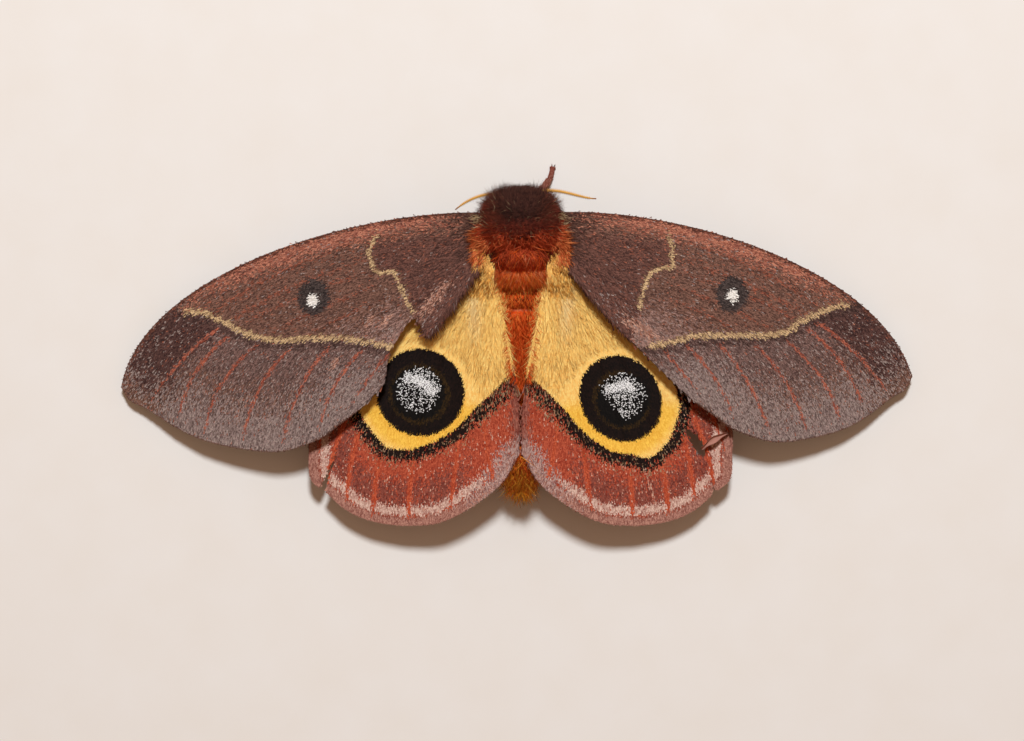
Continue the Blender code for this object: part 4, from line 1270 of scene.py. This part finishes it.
# Orange hair of the abdomen's sides spills over the inner edge of each hindwing.
FLANK_HAIRS = 900
FLANK_EDGE = ((-12.0, 1.2), (-7.5, 1.7), (-1.9, 2.3), (0.9, 3.1), (3.6, 3.9), (6.0, 4.6))
for wing in hindwings:
    chance = np.random.default_rng(340 + wing.side)
    y = chance.uniform(FLANK_EDGE[0][0], FLANK_EDGE[-1][0], FLANK_HAIRS)
    x = np.interp(y, *np.array(FLANK_EDGE).T) + chance.normal(-0.35, 0.3, FLANK_HAIRS)
    roots = np.column_stack((wing.side * x, y, hindwing_height(x, y) + MEMBRANE / 2))
    angle = chance.normal(1.1, 0.22, FLANK_HAIRS)
    lie = np.column_stack((wing.side * np.cos(angle), -np.sin(angle), np.full(FLANK_HAIRS, -0.1)))
    golden = chance.random(FLANK_HAIRS) < rise(-6.0, 2.0, y) * 0.6
    marks = {"abdomen_red": 1.0 - golden, "root_yellow": golden, "strand": chance.random(FLANK_HAIRS)}
    grow_coat(f"{wing.name}_flank_hair", "orange_fur", body_hair, roots, unit(lie),
              np.tile((0.0, 0.0, 1.0), (FLANK_HAIRS, 1)), chance.uniform(0.6, 1.7, FLANK_HAIRS), 0.06,
              chance.uniform(0.05, 0.2, FLANK_HAIRS), chance.normal(0.0, 0.12, FLANK_HAIRS), marks,
              body_unwrap(roots), "hair", LONG_DROOP)


# Eyes: round compound eyes, thousands of clear hard lenses over dark brown, each eye set in a cup
# of hair. The lenses are drawn some three times as wide as real ones, so that they show.
LENS_PITCH = 0.11
EYE_CLOUDS = 5 / 7
eye_cornea, tree, shader, place = new_material("compound_eye_cornea")
lenses = add_node(tree, "ShaderNodeTexVoronoi", {
    "Vector": place, "Scale": 1000 / LENS_PITCH, "Randomness": 0.35}).outputs["Distance"]
bump = add_node(tree, "ShaderNodeBump", {
    "Strength": 0.3, "Distance": 0.00002, "Height": lenses}, invert=True).outputs["Normal"]
_, colour = clouded(tree, place, EYE_CLOUDS, 2.0, "#0C0706", "#2E1A12")
plug(shader, {"Base Color": colour, "Normal": bump, "Roughness": 0.22, "Specular IOR Level": 0.15})
for side_name, side in SIDES.items():
    body = bmesh.new()
    centre = Matrix.Translation(RIGHT_EYE * (side, 1, 1))
    bmesh.ops.create_uvsphere(body, u_segments=56, v_segments=36, radius=EYE_RADIUS, matrix=centre)
    add_piece(f"eye_{side_name}_cornea", finish_mesh("eye", to_frame(body)), eye_cornea,
              [f"eye_{side_name}"])


def tube(path, radii, sides=12):
    """A closed tube along a path, extruded ring by ring from a circle. Each radius is one number,
    or one across and one up."""
    body = bmesh.new()
    ring = list(bmesh.ops.create_circle(body, cap_ends=True, segments=sides, radius=1.0)["verts"])
    flat = [vertex.co.copy() for vertex in ring]
    cap = next(iter(body.faces))
    path = [Vector(point) for point in path]
    for index, (centre, radius) in enumerate(zip(path, radii)):
        if index:
            grown = bmesh.ops.extrude_face_region(body, geom=[cap, *cap.edges])["geom"]
            new = [part for part in grown if isinstance(part, bmesh.types.BMVert)]
            cap = next(part for part in grown if isinstance(part, bmesh.types.BMFace))
            ring = [min(new, key=lambda vertex, old=old: (vertex.co - old.co).length) for old in ring]
        along = (path[min(index + 1, len(path) - 1)] - path[max(index - 1, 0)]).normalized()
        across = along.cross(Vector((0.0, 0.0, 1.0))).normalized()
        over = across.cross(along)
        wide, high = radius if isinstance(radius, tuple) else (radius, radius)
        for vertex, corner in zip(ring, flat):
            vertex.co = centre + across * corner.x * wide + over * corner.y * high
    return body


def bend(points, t):
    """Point at t on a cubic curve."""
    s = 1.0 - t
    start, leave, reach, end = (np.array(point) for point in points)
    return s ** 3 * start + 3 * s * s * t * leave + 3 * s * t * t * reach + t ** 3 * end


# Feelers: a female's are thin, some 35 short golden joints of bare chitin, each drawn out into a
# small tooth on either side, with a thin brown tip.
FEELER_JOINTS = 36
FEELER_RADIUS = 0.21
FEELER_TIP = 0.03
FEELER_SPECKLE = 0.25
TOOTHED_JOINTS = 32
TOOTH = 2.1
FEELER_PATHS = {
    "right": ((1.35, 15.4, 6.3), (4.4, 17.7, 7.2), (8.6, 15.2, 5.4), (11.4, 15.3, 4.6)),
    "left": ((-1.35, 15.5, 6.3), (-4.4, 16.4, 7.0), (-7.4, 15.6, 5.8), (-9.8, 13.6, 5.0)),
}
feeler_gold, tree, shader, place = new_material("feeler_golden_chitin")
tip = add_node(tree, "ShaderNodeAttribute", attribute_name="tip").outputs["Fac"]
speckle, gold = clouded(tree, place, FEELER_SPECKLE, 2.0, "#C07C22", "#F0B84E")
tone = add_node(tree, "ShaderNodeMix", {
    MIX_FACTOR: tip, MIX_FIRST: gold, MIX_SECOND: linear("#8A5030")}, data_type="RGBA")
bump = add_node(tree, "ShaderNodeBump", {
    "Strength": 0.3, "Distance": 0.00002, "Height": speckle}).outputs["Normal"]
plug(shader, {"Base Color": tone.outputs[MIX_RESULT], "Normal": bump, "Roughness": 0.5})
for side_name, points in FEELER_PATHS.items():
    path, radii = [], []
    for joint in range(FEELER_JOINTS):
        thin = 1.0 - 0.55 * (joint / FEELER_JOINTS) ** 2
        tooth = TOOTH if joint < TOOTHED_JOINTS else 1.0
        rings = ((0.0, 0.8, 0.8), (0.4, 1.0, 0.95), (0.72, tooth, 0.9), (0.9, 0.95, 0.8))
        for part, wide, high in rings:
            path.append(bend(points, (joint + part) / FEELER_JOINTS))
            radii.append((FEELER_RADIUS * thin * wide, FEELER_RADIUS * thin * high))
    body = tube([*path, points[-1]], [*radii, FEELER_TIP], 10)
    reach = abs(points[-1][0])
    tips = [rise(0.9, 1.0, abs(vertex.co.x) / reach) for vertex in body.verts]
    mesh = finish_mesh("feeler", to_frame(body))
    add_marks(mesh, {"tip": tips})
    add_piece(f"antenna_{side_name}_joints", mesh, feeler_gold, [f"antenna_{side_name}"])


# Mouth feelers: two short blunt palps of soft skin under the face, shaggy with dark hair that
# hangs over the mouth. The moth has no tongue.
PALP_ROOT = np.array((0.75, 16.2, 3.9))
PALP_PATH = [PALP_ROOT + step for step in ((0.0, -0.3, 0.0), (0.05, 0.4, -0.3), (0.1, 0.6, -0.6),
                                           (0.12, 0.75, -1.5))]
PALP_RADIUS = 0.34
PALP_SHARES = (0.8, 1.0, 1.1, 1.1, 1.1, 1.05, 0.95, 0.75, 0.35)
PALP_HAIRS = 900
for side_name, side in SIDES.items():
    path = [bend(PALP_PATH, step / 8) * (side, 1, 1) for step in range(9)]
    body = tube(path, [PALP_RADIUS * share for share in PALP_SHARES])
    mesh = finish_mesh("palp", to_frame(body))
    add_marks(mesh, body_marks(mesh_points(mesh)[0]))
    add_piece(f"palp_{side_name}_skin", mesh, body_hair, [f"palp_{side_name}"])
    chance = np.random.default_rng(60 + side)
    roots, normal = scatter(in_order(*mesh_points(mesh)), PALP_HAIRS, chance,
                            lambda place, facing: np.ones(len(place)))
    lie = laid_flat(np.tile((0.0, 0.5, -1.0), (PALP_HAIRS, 1)), normal)
    marks = body_marks(roots)
    marks["strand"] = chance.random(PALP_HAIRS)
    grow_coat(f"palp_{side_name}_hair", "dark_fur", body_hair, roots, lie, normal,
              chance.uniform(0.4, 0.7, PALP_HAIRS), 0.08, 0.5, 0.0, marks, body_unwrap(roots), "down")


# Legs: six slim legs close under the body, furry to the foot, each foot of five short joints
# pressed flat and ending in two small hooked claws.
LEG_RADIUS = 0.52
LEG_HAIRS = 800
CLAW_RADIUS = 0.07
CLAW_STEPS = 8
CLAW_STREAKS = 1 / 3
LEG_PATHS = {
    "front_right": ((2.0, 12.2, 3.2), (4.2, 14.0, 3.4), (3.0, 16.4, 1.6), (4.6, 18.8, 0.62),
                    (4.95, 20.4, 0.2)),
    "front_left": ((-2.0, 12.2, 3.2), (-4.6, 13.7, 3.6), (-6.5, 12.3, 1.7), (-7.8, 12.4, 0.7),
                   (-9.2, 12.9, 0.2)),
    "middle_right": ((3.0, 9.6, 3.0), (8.2, 11.4, 4.6), (11.2, 9.8, 1.2), (12.0, 8.8, 0.6),
                     (13.6, 7.6, 0.2)),
    "middle_left": ((-3.0, 9.6, 3.0), (-8.4, 10.8, 4.6), (-11.4, 9.2, 1.2), (-12.3, 8.4, 0.6),
                    (-13.8, 7.0, 0.2)),
    "hind_right": ((2.8, 7.0, 3.0), (7.6, 3.2, 4.6), (7.8, -6.6, 1.2), (7.9, -8.4, 0.6),
                   (8.5, -12.6, 0.2)),
    "hind_left": ((-2.8, 7.0, 3.0), (-7.8, 2.8, 4.6), (-7.7, -7.2, 1.2), (-7.8, -9.0, 0.6),
                  (-8.2, -13.2, 0.2)),
}
LEG_STOPS = (  # stretch, part of it, width share
    (0, 0.0, 0.9), (0, 0.35, 1.15), (0, 0.7, 1.05), (1, 0.0, 0.8), (1, 0.35, 1.0), (1, 0.7, 1.05),
    (2, 0.0, 0.95), (2, 0.5, 1.0), (3, 0.0, 0.66), (3, 0.1, 0.85), (3, 0.18, 0.68), (3, 0.3, 0.82),
    (3, 0.38, 0.64), (3, 0.5, 0.8), (3, 0.58, 0.62), (3, 0.7, 0.78), (3, 0.78, 0.66),
    (3, 0.9, 0.95), (3, 0.97, 0.85), (3, 1.0, 0.45),
)

# Leg hair: short flat reddish-brown scales, a little darker on the foot.
leg_hair = layered_material("leg_hair_reddish_brown", ("#84493C", "#C88A76"), {
    "foot": ("#7C4034", "#C08270"),
}, grain=0.6, ribs=0.12, sheen=0.05)

# Claws: smooth dark horn, streaked and glossy.
claw_horn, tree, shader, place = new_material("claw_dark_horn")
_, colour = clouded(tree, place, CLAW_STREAKS, 2.0, "#1E120D", "#4A2E20")
plug(shader, {"Base Color": colour, "Roughness": 0.3})
for leg_name, corners in LEG_PATHS.items():
    corners = [np.array(corner) for corner in corners]
    path = [corners[stretch] * (1 - part) + corners[min(stretch + 1, 4)] * part
            for stretch, part, _ in LEG_STOPS]
    radii = [LEG_RADIUS * share for *_, share in LEG_STOPS]
    mesh = finish_mesh("leg", to_frame(tube(path, radii, 14)))
    points = mesh_points(mesh)[0]
    for vertex, height in zip(mesh.vertices, np.maximum(points[:, 2], FLOOR_GAP)):
        vertex.co.z = (height + SHIFT[2]) * MM
    add_marks(mesh, {"foot": rise(1.6, 0.8, points[:, 2])})
    add_piece(f"leg_{leg_name}_skin", mesh, leg_hair, [f"leg_{leg_name}"])
    chance = np.random.default_rng(70 + len(leg_name) + int(corners[1][0] * 10) % 50)
    roots, normal = scatter(in_order(*mesh_points(mesh)), LEG_HAIRS, chance,
                            lambda place, facing: 0.4 + rise(0.3, 1.0, place[:, 2]))
    away = [np.linalg.norm(roots - stop, axis=1) for stop in path]
    stop = np.minimum(np.argmin(away, axis=0), len(path) - 2)
    steps = np.diff(np.array(path), axis=0)
    lie = unit(steps[stop] + chance.normal(0.0, 0.06, (LEG_HAIRS, 3)))
    foot = rise(1.6, 0.8, roots[:, 2])
    low = rise(0.5, 0.15, roots[:, 2] + 0.4 * normal[:, 2])
    marks = {"foot": foot, "strand": chance.random(LEG_HAIRS)}
    around = np.arctan2(normal[:, 1], normal[:, 0]) / math.tau + 0.5
    grow_coat(f"leg_{leg_name}_hair", "leg_fur", leg_hair, roots, laid_flat(lie, normal), normal,
              (0.8 - 0.45 * foot) * chance.uniform(0.7, 1.1, LEG_HAIRS), 0.08,
              (0.3 - 0.1 * foot) * (1.0 - low), 0.0, marks, laid_out(stop / len(path), around),
              "hair")
    toe = corners[4]
    onward = (toe - corners[3]) * (1, 1, 0)
    onward /= np.linalg.norm(onward)
    claws = bmesh.new()
    for side in (1, -1):
        aside = np.array((-onward[1], onward[0], 0.0)) * side
        start = toe + aside * 0.1 + (0.0, 0.0, 0.06)
        points = (start, start + onward * 0.3 + aside * 0.1 + (0, 0, 0.16),
                  start + onward * 0.5 + aside * 0.18,
                  start + onward * 0.5 + aside * 0.2 - (0, 0, 0.2))
        shares = [step / CLAW_STEPS for step in range(CLAW_STEPS + 1)]
        hook = tube([bend(points, share) for share in shares],
                    [CLAW_RADIUS * (1.0 - 0.85 * share) for share in shares], 8)
        part = bpy.data.meshes.new("hook")
        hook.to_mesh(part)
        hook.free()
        claws.from_mesh(part)
    add_piece(f"leg_{leg_name}_claws", finish_mesh("claws", to_frame(claws)), claw_horn)
